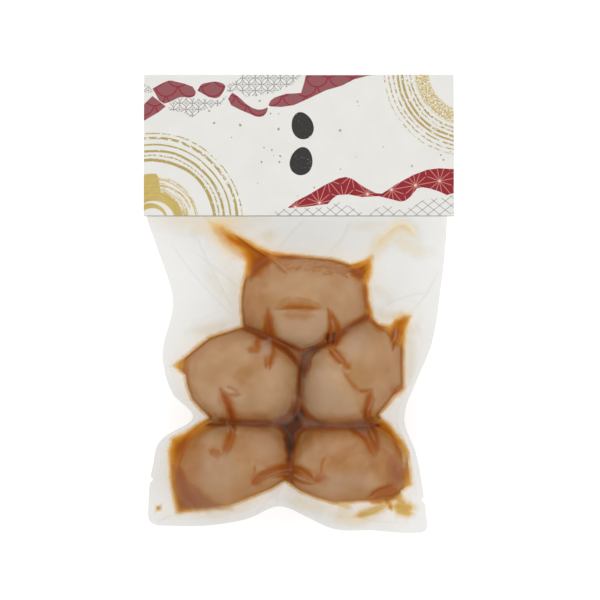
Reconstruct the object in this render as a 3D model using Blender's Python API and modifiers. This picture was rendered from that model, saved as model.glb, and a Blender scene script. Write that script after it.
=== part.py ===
"""Vacuum pack of five marinated eggs under a folded header card.

The pack lies on its back on the plane z = 0, with its shown side up and its header card towards +Y.
The origin is on that plane, under the middle of the whole pack. The pouch is one solid: the film
drawn tight over the eggs and their marinade, with its sealed rim, as the outside of the pack shows
it. All lengths below are in millimetres, and MM turns them into metres as the meshes are made.
"""
import math
from typing import NamedTuple

import bmesh
import bpy
import numpy as np
from mathutils import Matrix

MM = 0.001

# Heights over the surface that the pack lies on
SEAM_HEIGHT = 19.5          # middle of the sealed rim beside the eggs
EGG_SINK = 0.045            # share of an egg's half height that rests flattened on the surface
EGG_FLATTENING = 0.97       # height of an egg over its width, pressed by the vacuum

# The sealed rim and the film
RIM_THICKNESS = 0.6
RIM_DROOP = 1.4             # how far the free edge of the rim hangs, at most
RIM_WAVE = 0.7              # height of the slow waves along the free edge
RIM_WAVE_LENGTH = 46.0
RIM_WAVE_SKEW = 0.6         # how far the waves lean, in millimetres along Y for each along X
DROOP_SIDES = (36.0, 72.0)  # distance from the middle where the droop starts and is whole
DROOP_END = (86.0, 110.0)   # the same along -Y
DROOP_FADE = (37.3, 12.3)   # Y where the droop towards the card is gone, and where it is whole
FILM_MARGIN = 1.5           # from an egg's side to where the two films meet
FILM_WALL_SLOPE = 2.7       # steepest rise of the film beside an egg
FILM_PULL = 0.36            # inward curvature where the film spans a gap, per millimetre

# The header card and the slope down to it
CARD_WIDTH = 142.8
CARD_BOTTOM_Y = 40.3
CARD_TOP_Y = 105.6
CARD_THICKNESS = 0.35
CARD_GAP = 0.3              # air between the card and the rim inside it
BEND_START_Y = 12.0         # where the rim starts to slope down towards the card
HEADER_SLOPE = 0.224        # fall of the card for each millimetre along Y
POUCH_TOP_Y = CARD_TOP_Y - 3.5

# Meshes
LATTICE = 0.5               # spacing of the points on which the film is relaxed
LATTICE_X = (-80.0, 80.0)
LATTICE_Y = (-115.0, 50.0)
RELAX_STEPS = 1400
SLACK_HEIGHT = 12.0         # of the film over a gap before it is relaxed
FAR = 1000.0                # a distance that is beyond everything here
MESH_STEP = 1.25            # spacing of the pouch's points before they are thinned out
KEPT_SHARE = 0.118          # share of the pouch's triangles that is kept
TIP_STEPS = 18              # steps in which an egg's outline shrinks to a corner of its film
FLOOR_DEPTH = 10.0          # thickness of the block that flattens what rests on the surface


class Egg(NamedTuple):
    """A boiled egg lying in the pack, with the corners that its film is drawn out to."""
    x: float
    y: float
    length: float
    width: float
    turn: float             # of the long axis from +X, in degrees
    blunt: float            # how much wider the egg is towards the end that the turn points at
    corners: tuple          # x, y of each pinched corner of the film round the egg


EGGS = (
    Egg(2.0, 0.0, 56.5, 42.5, 0.0, 0.04,
        ((-21.5, 25.0), (33.6, 21.8), (-26.0, -10.0), (33.5, -8.0))),
    Egg(-25.3, -31.5, 54.5, 42.5, 3.0, 0.10,
        ((-56.6, -28.6), (-41.5, -51.0))),
    Egg(24.6, -32.2, 52.5, 42.0, 50.0, 0.08,
        ((50.0, -6.4), (47.6, -39.2), (36.5, -50.5))),
    Egg(-29.0, -71.8, 53.0, 39.8, 20.0, 0.05,
        ((-56.2, -96.0), (-59.4, -68.5), (-58.0, -62.4), (-8.0, -82.0))),
    Egg(23.0, -71.8, 54.0, 39.8, -13.0, -0.05,
        ((50.0, -68.0), (51.3, -83.5), (46.0, -90.3), (-4.0, -81.5))),
)

# Gaps where three or four eggs meet, which the marinade fills: x, y, radius
POCKETS = ((1.0, -23.0, 8.0), (-2.7, -52.0, 12.0))


class Crease(NamedTuple):
    """A fold of film, filled with marinade, that stands up along a line over the eggs."""
    height: float
    half_width: float
    points: tuple


CREASES = (
    Crease(1.3, 1.3, ((-35.3, 34.7), (-21.5, 25.6), (-12.3, 20.0), (-5.4, 13.6))),
    Crease(1.0, 1.2, ((-13.4, -3.0), (-13.2, -20.0), (-13.5, -29.0))),
    Crease(1.0, 1.2, ((14.8, -4.0), (15.8, -13.0), (14.8, -19.5), (20.3, -27.6))),
    Crease(1.2, 1.3, ((-36.4, -39.1), (-31.9, -50.5), (-31.7, -60.7), (-34.1, -68.7))),
    Crease(1.2, 1.3, ((33.1, -41.6), (30.4, -52.3), (33.1, -60.7), (36.4, -69.6))),
    Crease(1.1, 1.2, ((-20.9, -82.8), (-16.7, -79.0), (-5.0, -74.8), (3.1, -78.1), (8.7, -81.8))),
    Crease(1.0, 1.3, ((50.4, -6.4), (43.3, -22.3))),
)

# The pouch's outline: half of it at a time, each as a smooth line through its turning points
LEFT_SIDE = ((-105.6, -69.5), (-95.0, -69.3), (-75.0, -67.2), (-61.5, -62.0), (-53.5, -49.2),
             (-41.5, -58.0), (-26.0, -62.6), (2.0, -57.9), (24.6, -64.8), (42.0, -70.4), (60.0, -70.4),
             (105.6, -70.4))
RIGHT_SIDE = ((-105.6, 59.2), (-86.0, 57.1), (-69.0, 53.9), (-53.5, 48.6), (-34.0, 54.8),
              (-22.0, 59.9), (8.0, 65.4), (41.0, 68.3), (60.0, 68.3), (105.6, 68.3))
BOTTOM_SIDE = ((-69.5, -102.2), (-45.0, -102.1), (-25.0, -98.8), (-10.0, -93.3), (5.0, -99.0),
               (14.0, -103.0), (36.0, -104.4), (55.0, -105.6), (59.2, -105.4))
BOTTOM_CORNER_RADII = (5.0, 3.0)    # left, right

# Tear notches in the long seals
NOTCH_DEPTH = 1.6
NOTCHES = ((-68.2, -81.0, -90.0), (57.9, -90.5, 90.0))  # x, y of the edge, turn of the V from +Y


def smooth_line(points, at):
    """Value of a cubic curve through the points (place, value), read at each place in the array."""
    places = np.array([p[0] for p in points])
    values = np.array([p[1] for p in points])
    slopes = np.gradient(values, places)
    slopes[0] = slopes[-1] = 0.0
    at = np.clip(at, places[0], places[-1])
    i = np.clip(np.searchsorted(places, at) - 1, 0, len(places) - 2)
    span = places[i + 1] - places[i]
    t = (at - places[i]) / span
    return ((2 * t**3 - 3 * t**2 + 1) * values[i] + (t**3 - 2 * t**2 + t) * span * slopes[i]
            + (3 * t**2 - 2 * t**3) * values[i + 1] + (t**3 - t**2) * span * slopes[i + 1])


def smooth_step(low, high, value):
    """0 up to low and 1 from high on, with a smooth rise between."""
    t = np.clip((value - low) / (high - low), 0.0, 1.0)
    return t * t * (3.0 - 2.0 * t)


def egg_coordinates(egg, x, y, centre_x, centre_y):
    """Offsets from the centre along and across the egg's long axis."""
    turn = math.radians(egg.turn)
    dx, dy = x - centre_x, y - centre_y
    return dx * math.cos(turn) + dy * math.sin(turn), dy * math.cos(turn) - dx * math.sin(turn)


def egg_level(egg, along, across, scale, margin):
    """1 on the outline of the egg, enlarged by the margin and then scaled, and less inside it."""
    half_length = (egg.length / 2 + margin) * scale
    half_width = (egg.width / 2 + margin) * scale
    taper = 1.0 + egg.blunt * np.clip(along / half_length, -1.0, 1.0)
    return np.hypot(along / half_length, across / (half_width * taper))


def egg_dome(egg, x, y):
    """Height of the egg's surface over its own centre, and -1 beside the egg."""
    along, across = egg_coordinates(egg, x, y, egg.x, egg.y)
    level = egg_level(egg, along, across, 1.0, 0.0)
    half_height = egg.width / 2 * EGG_FLATTENING
    return np.where(level < 1.0, half_height * np.sqrt(np.maximum(1.0 - level**2, 0.0)), -1.0)


def egg_centre_height(egg):
    return egg.width / 2 * EGG_FLATTENING * (1.0 - EGG_SINK)


def depth_in_contents(x, y):
    """How far a place is inside the outline of the eggs, their marinade and the film's corners.

    The film from an egg to a corner covers what the egg's outline sweeps as it shrinks to the corner.
    """
    deepest = np.full_like(x, -FAR)
    for pocket_x, pocket_y, radius in POCKETS:
        deepest = np.maximum(deepest, radius - np.hypot(x - pocket_x, y - pocket_y))
    for egg in EGGS:
        for corner in ((egg.x, egg.y),) + egg.corners:
            steps = 1 if corner == (egg.x, egg.y) else TIP_STEPS
            for k in range(steps):
                part = k / TIP_STEPS
                along, across = egg_coordinates(egg, x, y, egg.x + part * (corner[0] - egg.x),
                                                egg.y + part * (corner[1] - egg.y))
                level = egg_level(egg, along, across, 1.0 - part, FILM_MARGIN)
                distance = np.hypot(along, across)
                reach = np.where(level > 0.001, distance / np.maximum(level, 0.001), egg.width / 2)
                deepest = np.maximum(deepest, reach - distance)
    return deepest


def seam_height(x, y):
    """Height of the middle of the sealed rim: level round the eggs, then sloping to the card."""
    bend = CARD_BOTTOM_Y - BEND_START_Y
    past = np.maximum(y - BEND_START_Y, 0.0)
    fall = HEADER_SLOPE * np.where(past < bend, past**2 / (2 * bend), past - bend / 2)
    free = np.maximum(smooth_step(*DROOP_SIDES, np.abs(x)), smooth_step(*DROOP_END, -y))
    free = free * smooth_step(*DROOP_FADE, y)
    wave = np.sin(2 * math.pi * (y + RIM_WAVE_SKEW * x) / RIM_WAVE_LENGTH)
    return SEAM_HEIGHT - fall - free * (RIM_DROOP - RIM_WAVE * wave)


def relax_film(obstacle, depth):
    """Height of a tight film over the rim: on the eggs where it touches, taut and drawn in between."""
    edge = RIM_THICKNESS / 2
    ceiling = np.maximum(edge, edge + FILM_WALL_SLOPE * depth)
    inside = depth > 0.0
    floor = np.where(inside, np.maximum(obstacle, edge), edge)
    pull = FILM_PULL * LATTICE**2 / 4
    film = np.where(inside, np.minimum(np.maximum(obstacle, SLACK_HEIGHT), ceiling), edge)
    for _ in range(RELAX_STEPS):
        mean = (np.roll(film, 1, 0) + np.roll(film, -1, 0) + np.roll(film, 1, 1)
                + np.roll(film, -1, 1)) / 4
        film = np.where(inside, np.maximum(floor, np.minimum(mean - pull, ceiling)), edge)
    return film


def crease_relief(x, y):
    """Extra height of the folds of film that cross the eggs."""
    relief = np.zeros_like(x)
    for crease in CREASES:
        near = np.full_like(x, FAR)
        for (ax, ay), (bx, by) in zip(crease.points, crease.points[1:]):
            run_x, run_y = bx - ax, by - ay
            t = np.clip(((x - ax) * run_x + (y - ay) * run_y) / (run_x**2 + run_y**2), 0.0, 1.0)
            near = np.minimum(near, np.hypot(x - ax - t * run_x, y - ay - t * run_y))
        relief = np.maximum(relief, crease.height * np.exp(-(near / crease.half_width) ** 2))
    return relief


class Film:
    """The two faces of the pouch, relaxed on a lattice and read at any place."""

    def __init__(self):
        x, y = np.meshgrid(np.arange(*LATTICE_X, LATTICE), np.arange(*LATTICE_Y, LATTICE))
        depth = depth_in_contents(x, y)
        seam = seam_height(x, y)
        over = np.full_like(x, -1.0)
        under = np.full_like(x, -1.0)
        for egg in EGGS:
            dome = egg_dome(egg, x, y)
            lift = egg_centre_height(egg) - seam
            over = np.maximum(over, np.where(dome > 0, lift + dome, -1.0))
            under = np.maximum(under, np.where(dome > 0, dome - lift, -1.0))
        self.over = relax_film(over, depth) + crease_relief(x, y)
        self.under = relax_film(under, depth)

    def read(self, lattice, x, y):
        """Value of a lattice at each place, between its four nearest points."""
        column = np.clip((x - LATTICE_X[0]) / LATTICE, 0.0, lattice.shape[1] - 1.001)
        row = np.clip((y - LATTICE_Y[0]) / LATTICE, 0.0, lattice.shape[0] - 1.001)
        i, j = row.astype(int), column.astype(int)
        s, t = row - i, column - j
        return ((lattice[i, j] * (1 - t) + lattice[i, j + 1] * t) * (1 - s)
                + (lattice[i + 1, j] * (1 - t) + lattice[i + 1, j + 1] * t) * s)

    def heights(self, x, y):
        """Heights of the upper and the lower face."""
        seam = seam_height(x, y)
        return seam + self.read(self.over, x, y), seam - self.read(self.under, x, y)


def pouch_place(across, along):
    """Place in the pouch's outline of shares from 0 to 1, left to right and bottom to top."""
    bottom_x = LEFT_SIDE[0][1] + across * (RIGHT_SIDE[0][1] - LEFT_SIDE[0][1])
    bottom = smooth_line(BOTTOM_SIDE, bottom_x)
    y = bottom + along * (POUCH_TOP_Y - bottom)
    left, right = smooth_line(LEFT_SIDE, y), smooth_line(RIGHT_SIDE, y)
    over_bottom = y - bottom
    inset = [radius - np.sqrt(np.maximum(radius**2 - np.maximum(radius - over_bottom, 0.0) ** 2, 0.0))
             for radius in BOTTOM_CORNER_RADII]
    left, right = left + inset[0], right - inset[1]
    return left + across * (right - left), y


def make_material(name, colour, roughness):
    material = bpy.data.materials.new(name)
    material.use_nodes = True
    shader = material.node_tree.nodes["Principled BSDF"]
    shader.inputs["Base Color"].default_value = (*colour, 1.0)
    shader.inputs["Roughness"].default_value = roughness
    shader.inputs["Metallic"].default_value = 0.0
    return material


def add_object(name, mesh, collection, material=None):
    thing = bpy.data.objects.new(name, mesh)
    collection.objects.link(thing)
    if material:
        mesh.materials.append(material)
    return thing


def add_cutter(name, bm, collection):
    mesh = bpy.data.meshes.new(name)
    bm.to_mesh(mesh)
    bm.free()
    cutter = add_object(name, mesh, collection)
    cutter.hide_render = True
    cutter.display_type = "WIRE"
    return cutter


def cut(thing, cutter):
    boolean = thing.modifiers.new(cutter.name, "BOOLEAN")
    boolean.operation = "DIFFERENCE"
    boolean.object = cutter


def build_pouch(collection, cutters):
    """The pouch: a sheet in the shape of its outline, doubled, with each face lifted to its film."""
    columns = round(CARD_WIDTH / MESH_STEP)
    rows = round((CARD_TOP_Y * 2) / MESH_STEP)
    bm = bmesh.new()
    bmesh.ops.create_grid(bm, x_segments=columns, y_segments=rows, size=1.0)
    doubled = bmesh.ops.extrude_face_region(bm, geom=bm.faces[:], use_keep_orig=True)
    for item in doubled["geom"]:
        if isinstance(item, bmesh.types.BMVert):
            item.co.z = 1.0
    mesh = bpy.data.meshes.new("vacuum_pouch")
    points = np.array([v.co for v in bm.verts])
    x, y = pouch_place((points[:, 0] + 1) / 2, (points[:, 1] + 1) / 2)
    upper, lower = Film().heights(x, y)
    z = np.where(points[:, 2] > 0.5, upper, lower)
    for vertex, place in zip(bm.verts, np.column_stack((x, y, z)) * MM):
        vertex.co = place
    bm.normal_update()
    bmesh.ops.recalc_face_normals(bm, faces=bm.faces[:])
    bm.to_mesh(mesh)
    bm.free()
    mesh.shade_smooth()
    film = make_material("film_over_marinade", (0.40, 0.22, 0.10), 0.25)
    pouch = add_object("vacuum_pouch", mesh, collection, film)

    thin = pouch.modifiers.new("thin_out", "DECIMATE")
    thin.ratio = KEPT_SHARE
    cut(pouch, floor_cutter(cutters))
    for k, notch in enumerate(NOTCHES):
        cut(pouch, notch_cutter(f"notch_{k + 1}", notch, cutters))
    return pouch


def floor_cutter(cutters):
    """A block under the surface that flattens the eggs' undersides where they rest on it."""
    bm = bmesh.new()
    bmesh.ops.create_cube(bm, size=1.0)
    for vertex in bm.verts:
        vertex.co.x *= CARD_WIDTH * 1.2 * MM
        vertex.co.y *= CARD_TOP_Y * 2.4 * MM
        vertex.co.z = 0.0 if vertex.co.z > 0 else -FLOOR_DEPTH * MM
    return add_cutter("floor", bm, cutters)


def notch_cutter(name, notch, cutters):
    """A three-sided prism that cuts a small V into the edge of the rim."""
    x, y, turn = notch
    place = (Matrix.Translation((x * MM, y * MM, SEAM_HEIGHT * MM))
             @ Matrix.Rotation(math.radians(turn), 4, "Z"))
    bm = bmesh.new()
    bmesh.ops.create_cone(bm, cap_ends=True, segments=3, radius1=NOTCH_DEPTH * MM,
                          radius2=NOTCH_DEPTH * MM, depth=SEAM_HEIGHT * MM, matrix=place)
    return add_cutter(name, bm, cutters)


def build_card(collection):
    """The header card: one sheet folded over the top of the rim, its two sides along the slope."""
    half_gap = RIM_THICKNESS / 2 + CARD_GAP
    fall = math.atan(HEADER_SLOPE)
    seam_bottom = float(seam_height(0.0, CARD_BOTTOM_Y))
    radius = half_gap + CARD_THICKNESS
    run = (CARD_TOP_Y - radius - CARD_BOTTOM_Y) / math.cos(fall)

    def on_slope(along, off):
        """Place in the card's cross-section, from along its middle and off it."""
        return (CARD_BOTTOM_Y + along * math.cos(fall) + off * math.sin(fall),
                seam_bottom - along * math.sin(fall) + off * math.cos(fall))

    fold_steps = 10
    profile = [on_slope(0.0, -half_gap)]
    for k in range(fold_steps + 1):
        angle = -math.pi / 2 + math.pi * k / fold_steps
        profile.append(on_slope(run + half_gap * math.cos(angle), half_gap * math.sin(angle)))
    profile.append(on_slope(0.0, half_gap))

    bm = bmesh.new()
    edge_points = [bm.verts.new((-CARD_WIDTH / 2 * MM, y * MM, z * MM)) for y, z in profile]
    edges = [bm.edges.new(pair) for pair in zip(edge_points, edge_points[1:])]
    swept = bmesh.ops.extrude_edge_only(bm, edges=edges)
    moved = [item for item in swept["geom"] if isinstance(item, bmesh.types.BMVert)]
    bmesh.ops.translate(bm, verts=moved, vec=(CARD_WIDTH * MM, 0.0, 0.0))
    bmesh.ops.recalc_face_normals(bm, faces=bm.faces[:])
    mesh = bpy.data.meshes.new("header_card")
    bm.to_mesh(mesh)
    bm.free()
    card = add_object("header_card", mesh, collection, make_material("card", (0.80, 0.79, 0.76), 0.7))
    sheet = card.modifiers.new("sheet", "SOLIDIFY")
    sheet.thickness = CARD_THICKNESS * MM
    sheet.offset = 1.0
    sheet.use_even_offset = True
    return card


def main():
    for thing in list(bpy.data.objects):
        bpy.data.objects.remove(thing, do_unlink=True)
    parts = bpy.data.collections.new("marinated_egg_pack")
    cutters = bpy.data.collections.new("cutters")
    for collection in (parts, cutters):
        bpy.context.scene.collection.children.link(collection)
    build_pouch(parts, cutters)
    build_card(parts)


main()
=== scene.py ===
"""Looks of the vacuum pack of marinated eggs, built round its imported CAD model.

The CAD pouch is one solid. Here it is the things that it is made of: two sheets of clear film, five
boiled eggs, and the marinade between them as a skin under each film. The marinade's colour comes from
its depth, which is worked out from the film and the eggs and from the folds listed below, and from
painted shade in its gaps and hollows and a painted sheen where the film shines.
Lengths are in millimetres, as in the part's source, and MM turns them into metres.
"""

import math
from functools import partialmethod
from typing import NamedTuple

import bmesh
import bpy
import numpy as np
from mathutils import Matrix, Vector, geometry, noise


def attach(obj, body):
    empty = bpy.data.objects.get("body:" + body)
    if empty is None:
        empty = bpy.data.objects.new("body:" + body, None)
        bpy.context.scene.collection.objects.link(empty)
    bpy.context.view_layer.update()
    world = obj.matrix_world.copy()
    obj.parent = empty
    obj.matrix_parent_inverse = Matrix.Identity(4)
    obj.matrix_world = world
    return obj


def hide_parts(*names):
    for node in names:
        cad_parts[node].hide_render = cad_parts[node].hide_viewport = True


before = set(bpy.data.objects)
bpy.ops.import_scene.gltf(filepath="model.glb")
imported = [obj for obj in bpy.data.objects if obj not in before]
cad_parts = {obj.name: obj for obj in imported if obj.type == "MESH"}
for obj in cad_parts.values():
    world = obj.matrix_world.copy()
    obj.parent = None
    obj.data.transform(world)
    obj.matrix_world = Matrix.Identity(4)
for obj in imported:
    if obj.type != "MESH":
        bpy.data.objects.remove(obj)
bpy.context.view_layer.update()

MM = 0.001
FAR = 1000.0

# Heights over the surface that the pack lies on
SEAM_HEIGHT = 19.5
EGG_SINK = 0.045            # share of an egg's half height that rests flattened on the surface
EGG_FLATTENING = 0.97       # height of an egg, as a share of its width

# The sealed rim and the film
RIM_DROOP = 1.4             # how far the rim hangs down where nothing holds it
RIM_WAVE = 0.7              # half the height of its wave
RIM_WAVE_LENGTH = 46.0
RIM_WAVE_SKEW = 0.6
DROOP_SIDES = (36.0, 72.0)  # distances to the sides between which the rim comes to hang free
DROOP_END = (86.0, 110.0)   # the same towards the foot
DROOP_FADE = (37.3, 12.3)   # Y from which the card holds the rim, and up to which it is free
WRINKLE = 0.25              # unevenness of the empty film, in lumps of this size
WRINKLE_SIZE = 17.0
WRINKLE_START = (-1.0, -6.0)        # depths in the contents between which it sets in
WRINKLE_END = (44.0, 36.0)          # Y at the card where it is gone, and up to which it is full
RIM_HALF_GAP = 0.12         # from the middle of the rim to each sheet of film
SHEET_GAP = 0.1             # how much further up the upper sheet lies
SKIN_UNDER_FILM = 0.15      # from the film to the skin of marinade under it, at most
SKIN_FROM_EDGE = 2.5        # from the pouch's outline to any marinade
EGG_UNDER_FILM = 0.35       # from the film to an egg that it lies on
EGG_IN_OUTLINE = 0.2        # from the outline of the marinade to an egg
EGG_GAP_SHARE = 0.004       # between two eggs, as a share of their half size
EGG_LOWEST = 0.3            # least height of an egg over the surface
SKIN_LOWEST = 0.06          # the same of the lower skin of marinade
SKIN_OVERHANG = 1.5         # how far this skin goes out past the outline of the marinade
EGG_DENTS = 0.008           # unevenness of an egg, as a share of its size
FILM_ROUNDING = 0.7         # softness of the film's bends
EGG_SPREAD = 1.3            # how far the film's flanks let an egg out sideways
FILM_MARGIN = 1.5           # from an egg's side to the rim
FILM_WALL_SLOPE = 2.7       # steepest rise of the film from the rim
FILM_PULL = 0.36            # how strongly the vacuum draws the free film in

# The header card
CARD_WIDTH = 142.8
CARD_BOTTOM_Y = 40.3
CARD_TOP_Y = 105.6
CARD_THICKNESS = 0.35
CARD_HALF_GAP = 0.6         # from the middle of the rim to the card's inner face
BEND_START_Y = 12.0         # from here the rim bends down towards the card
HEADER_SLOPE = 0.224
POUCH_TOP_Y = CARD_TOP_Y - 3.5
FOLD_STEPS = 10

# Meshes
LATTICE = 0.4               # spacing of the points for the film, the skins and their depth
LATTICE_X = (-72.0, 72.0)
LATTICE_Y = (-108.0, 42.0)
RELAX_STEPS = 2200
SLACK_HEIGHT = 12.0         # of the free film over the rim, before it is drawn tight
TIP_STEPS = 18              # ever smaller outlines of an egg, on the way to each of its corners
FRONT_STEP = 0.6            # spacing of the upper sheet's points
BACK_STEP = 0.9
EGG_SEGMENTS = (96, 64)
EGG_SEARCH_STEPS = 16       # halvings, to find how far an egg can reach out


class Egg(NamedTuple):
    """A boiled egg lying in the pack, with the corners that its film is drawn out to."""
    x: float
    y: float
    length: float
    width: float
    turn: float             # of the long axis from +X, in degrees
    blunt: float            # how much wider the egg is towards the end that the turn points at
    square: float           # power of its outline: over 2, it fills its corners more than an oval
    corners: tuple          # x, y of each pinched corner of the film round the egg

    def centre_height(self):
        return self.width / 2 * EGG_FLATTENING * (1.0 - EGG_SINK)

    def offsets(self, x, y):
        """Offsets in X and Y as offsets along and across the long axis."""
        turn = math.radians(self.turn)
        return x * math.cos(turn) + y * math.sin(turn), y * math.cos(turn) - x * math.sin(turn)

    def level(self, x, y, scale=1.0, margin=EGG_SPREAD, power=None):
        """1 on the outline of the egg, enlarged by the margin and then scaled, and less inside it."""
        along, across = self.offsets(x, y)
        half_length = (self.length / 2 + margin) * scale
        half_width = (self.width / 2 + margin) * scale
        taper = 1.0 + self.blunt * np.clip(along / half_length, -1.0, 1.0)
        power = power or self.square
        along, across = abs(along / half_length), abs(across / (half_width * taper))
        return (along**power + across**power) ** (1 / power)

    def dome(self, level, inset=0.0):
        """Height of the egg's surface over its own centre, and -FAR beside the egg."""
        half_height = self.width / 2 * EGG_FLATTENING - inset
        return np.where(level < 1.0, half_height * np.sqrt(np.maximum(1.0 - level**2, 0.0)), -FAR)


EGGS = (
    Egg(2.0, 0.0, 56.5, 42.5, 0.0, 0.04, 2.3,
        ((-21.5, 25.0), (33.6, 21.8), (-26.0, -10.0), (33.5, -8.0))),
    Egg(-25.3, -34.2, 54.5, 42.5, 3.0, 0.10, 2.7,
        ((-56.6, -28.6), (-41.5, -51.0))),
    Egg(24.4, -33.9, 50.5, 43.6, 45.0, 0.05, 2.75,
        ((50.0, -6.4), (47.6, -39.2), (36.5, -50.5))),
    Egg(-29.0, -75.2, 53.0, 39.8, 20.0, 0.05, 2.3,
        ((-56.2, -96.0), (-59.4, -68.5), (-58.0, -62.4), (-8.0, -82.0))),
    Egg(22.3, -75.0, 52.8, 39.8, -11.0, -0.05, 2.2,
        ((50.0, -68.0), (51.3, -83.5), (46.0, -90.3), (-4.0, -81.5))),
)

# Gaps where three or four eggs meet, full of marinade: x, y, radius
POCKETS = ((1.0, -23.0, 8.0), (-2.7, -52.0, 12.0))

# The pouch's outline: half of it at a time, each as a smooth line through its turning points
LEFT_SIDE = ((-105.6, -69.5), (-95.0, -69.3), (-75.0, -67.2), (-61.5, -62.0), (-53.5, -49.2),
             (-41.5, -58.0), (-26.0, -62.6), (2.0, -57.9), (24.6, -64.8), (42.0, -70.4), (60.0, -70.4),
             (105.6, -70.4))
RIGHT_SIDE = ((-105.6, 59.2), (-86.0, 57.1), (-69.0, 53.9), (-53.5, 48.6), (-34.0, 54.8),
              (-22.0, 59.9), (8.0, 65.4), (41.0, 68.3), (60.0, 68.3), (105.6, 68.3))
BOTTOM_SIDE = ((-69.5, -102.2), (-45.0, -102.1), (-25.0, -98.8), (-10.0, -93.3), (5.0, -99.0),
               (14.0, -103.0), (36.0, -104.4), (55.0, -105.6), (59.2, -105.4))
BOTTOM_CORNER_RADII = (5.0, 3.0)

# Tear notches in the long seals
NOTCH_DEPTH = 1.6
NOTCH_HALF_HEIGHT = 1.4
NOTCH_PLACES = (-81.0, -90.5)       # Y of the left and the right one


def pairs(*numbers):
    """Points, from the X and Y of each in turn."""
    return np.reshape(np.array(numbers, float), (-1, 2))


def rows(*entries):
    """Entries of values and points, with each entry's points made from their X and Y in turn."""
    return [(values, pairs(*numbers)) for values, numbers in entries]


# The outline that the marinade fills, clockwise from the left of the top egg
MARINADE_OUTLINE = pairs(
    -25.7, -10.6, -26.6, 0.7, -25.7, 8.5, -23.9, 15, -23.6, 19.1, -25.4, 23.8, -30.5, 28, -35.3, 34.3,
    -27, 30.6, -18.8, 25.6, -12.3, 22.6, 14.4, 20.4, 23.6, 17.9, 29.1, 19.1, 33.5, 21.4, 33, 15.4, 31.1,
    9.4, 31.1, 1.6, 33.2, -6, 36.4, -9.9, 42.4, -10.8, 45.2, -8.1, 50.5, -6.3, 48.6, -12.2, 47.8, -23.7,
    47.9, -38.9, 43.8, -42.1, 36.6, -51.3, 42.9, -57.3, 47.9, -63.3, 50.2, -68.3, 50.7, -77.1, 51.4, -83,
    46.8, -86.3, 46.6, -89.7, 40.1, -90.9, 31.8, -90.6, 16.2, -91.6, 7.6, -89.2, 0.6, -86.3, -6.3, -81.2,
    -12.3, -85.1, -31.6, -92.9, -55.8, -95.7, -57.4, -88, -58.6, -80, -59.3, -67.9, -58.1, -62.1, -52.9,
    -60.4, -46.8, -56.6, -41.1, -52.4, -45.3, -48.2, -49.1, -43.9, -51.2, -38.4, -52.1, -32.9, -56.7,
    -28.5, -49, -22, -41.1, -15.6)
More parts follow.
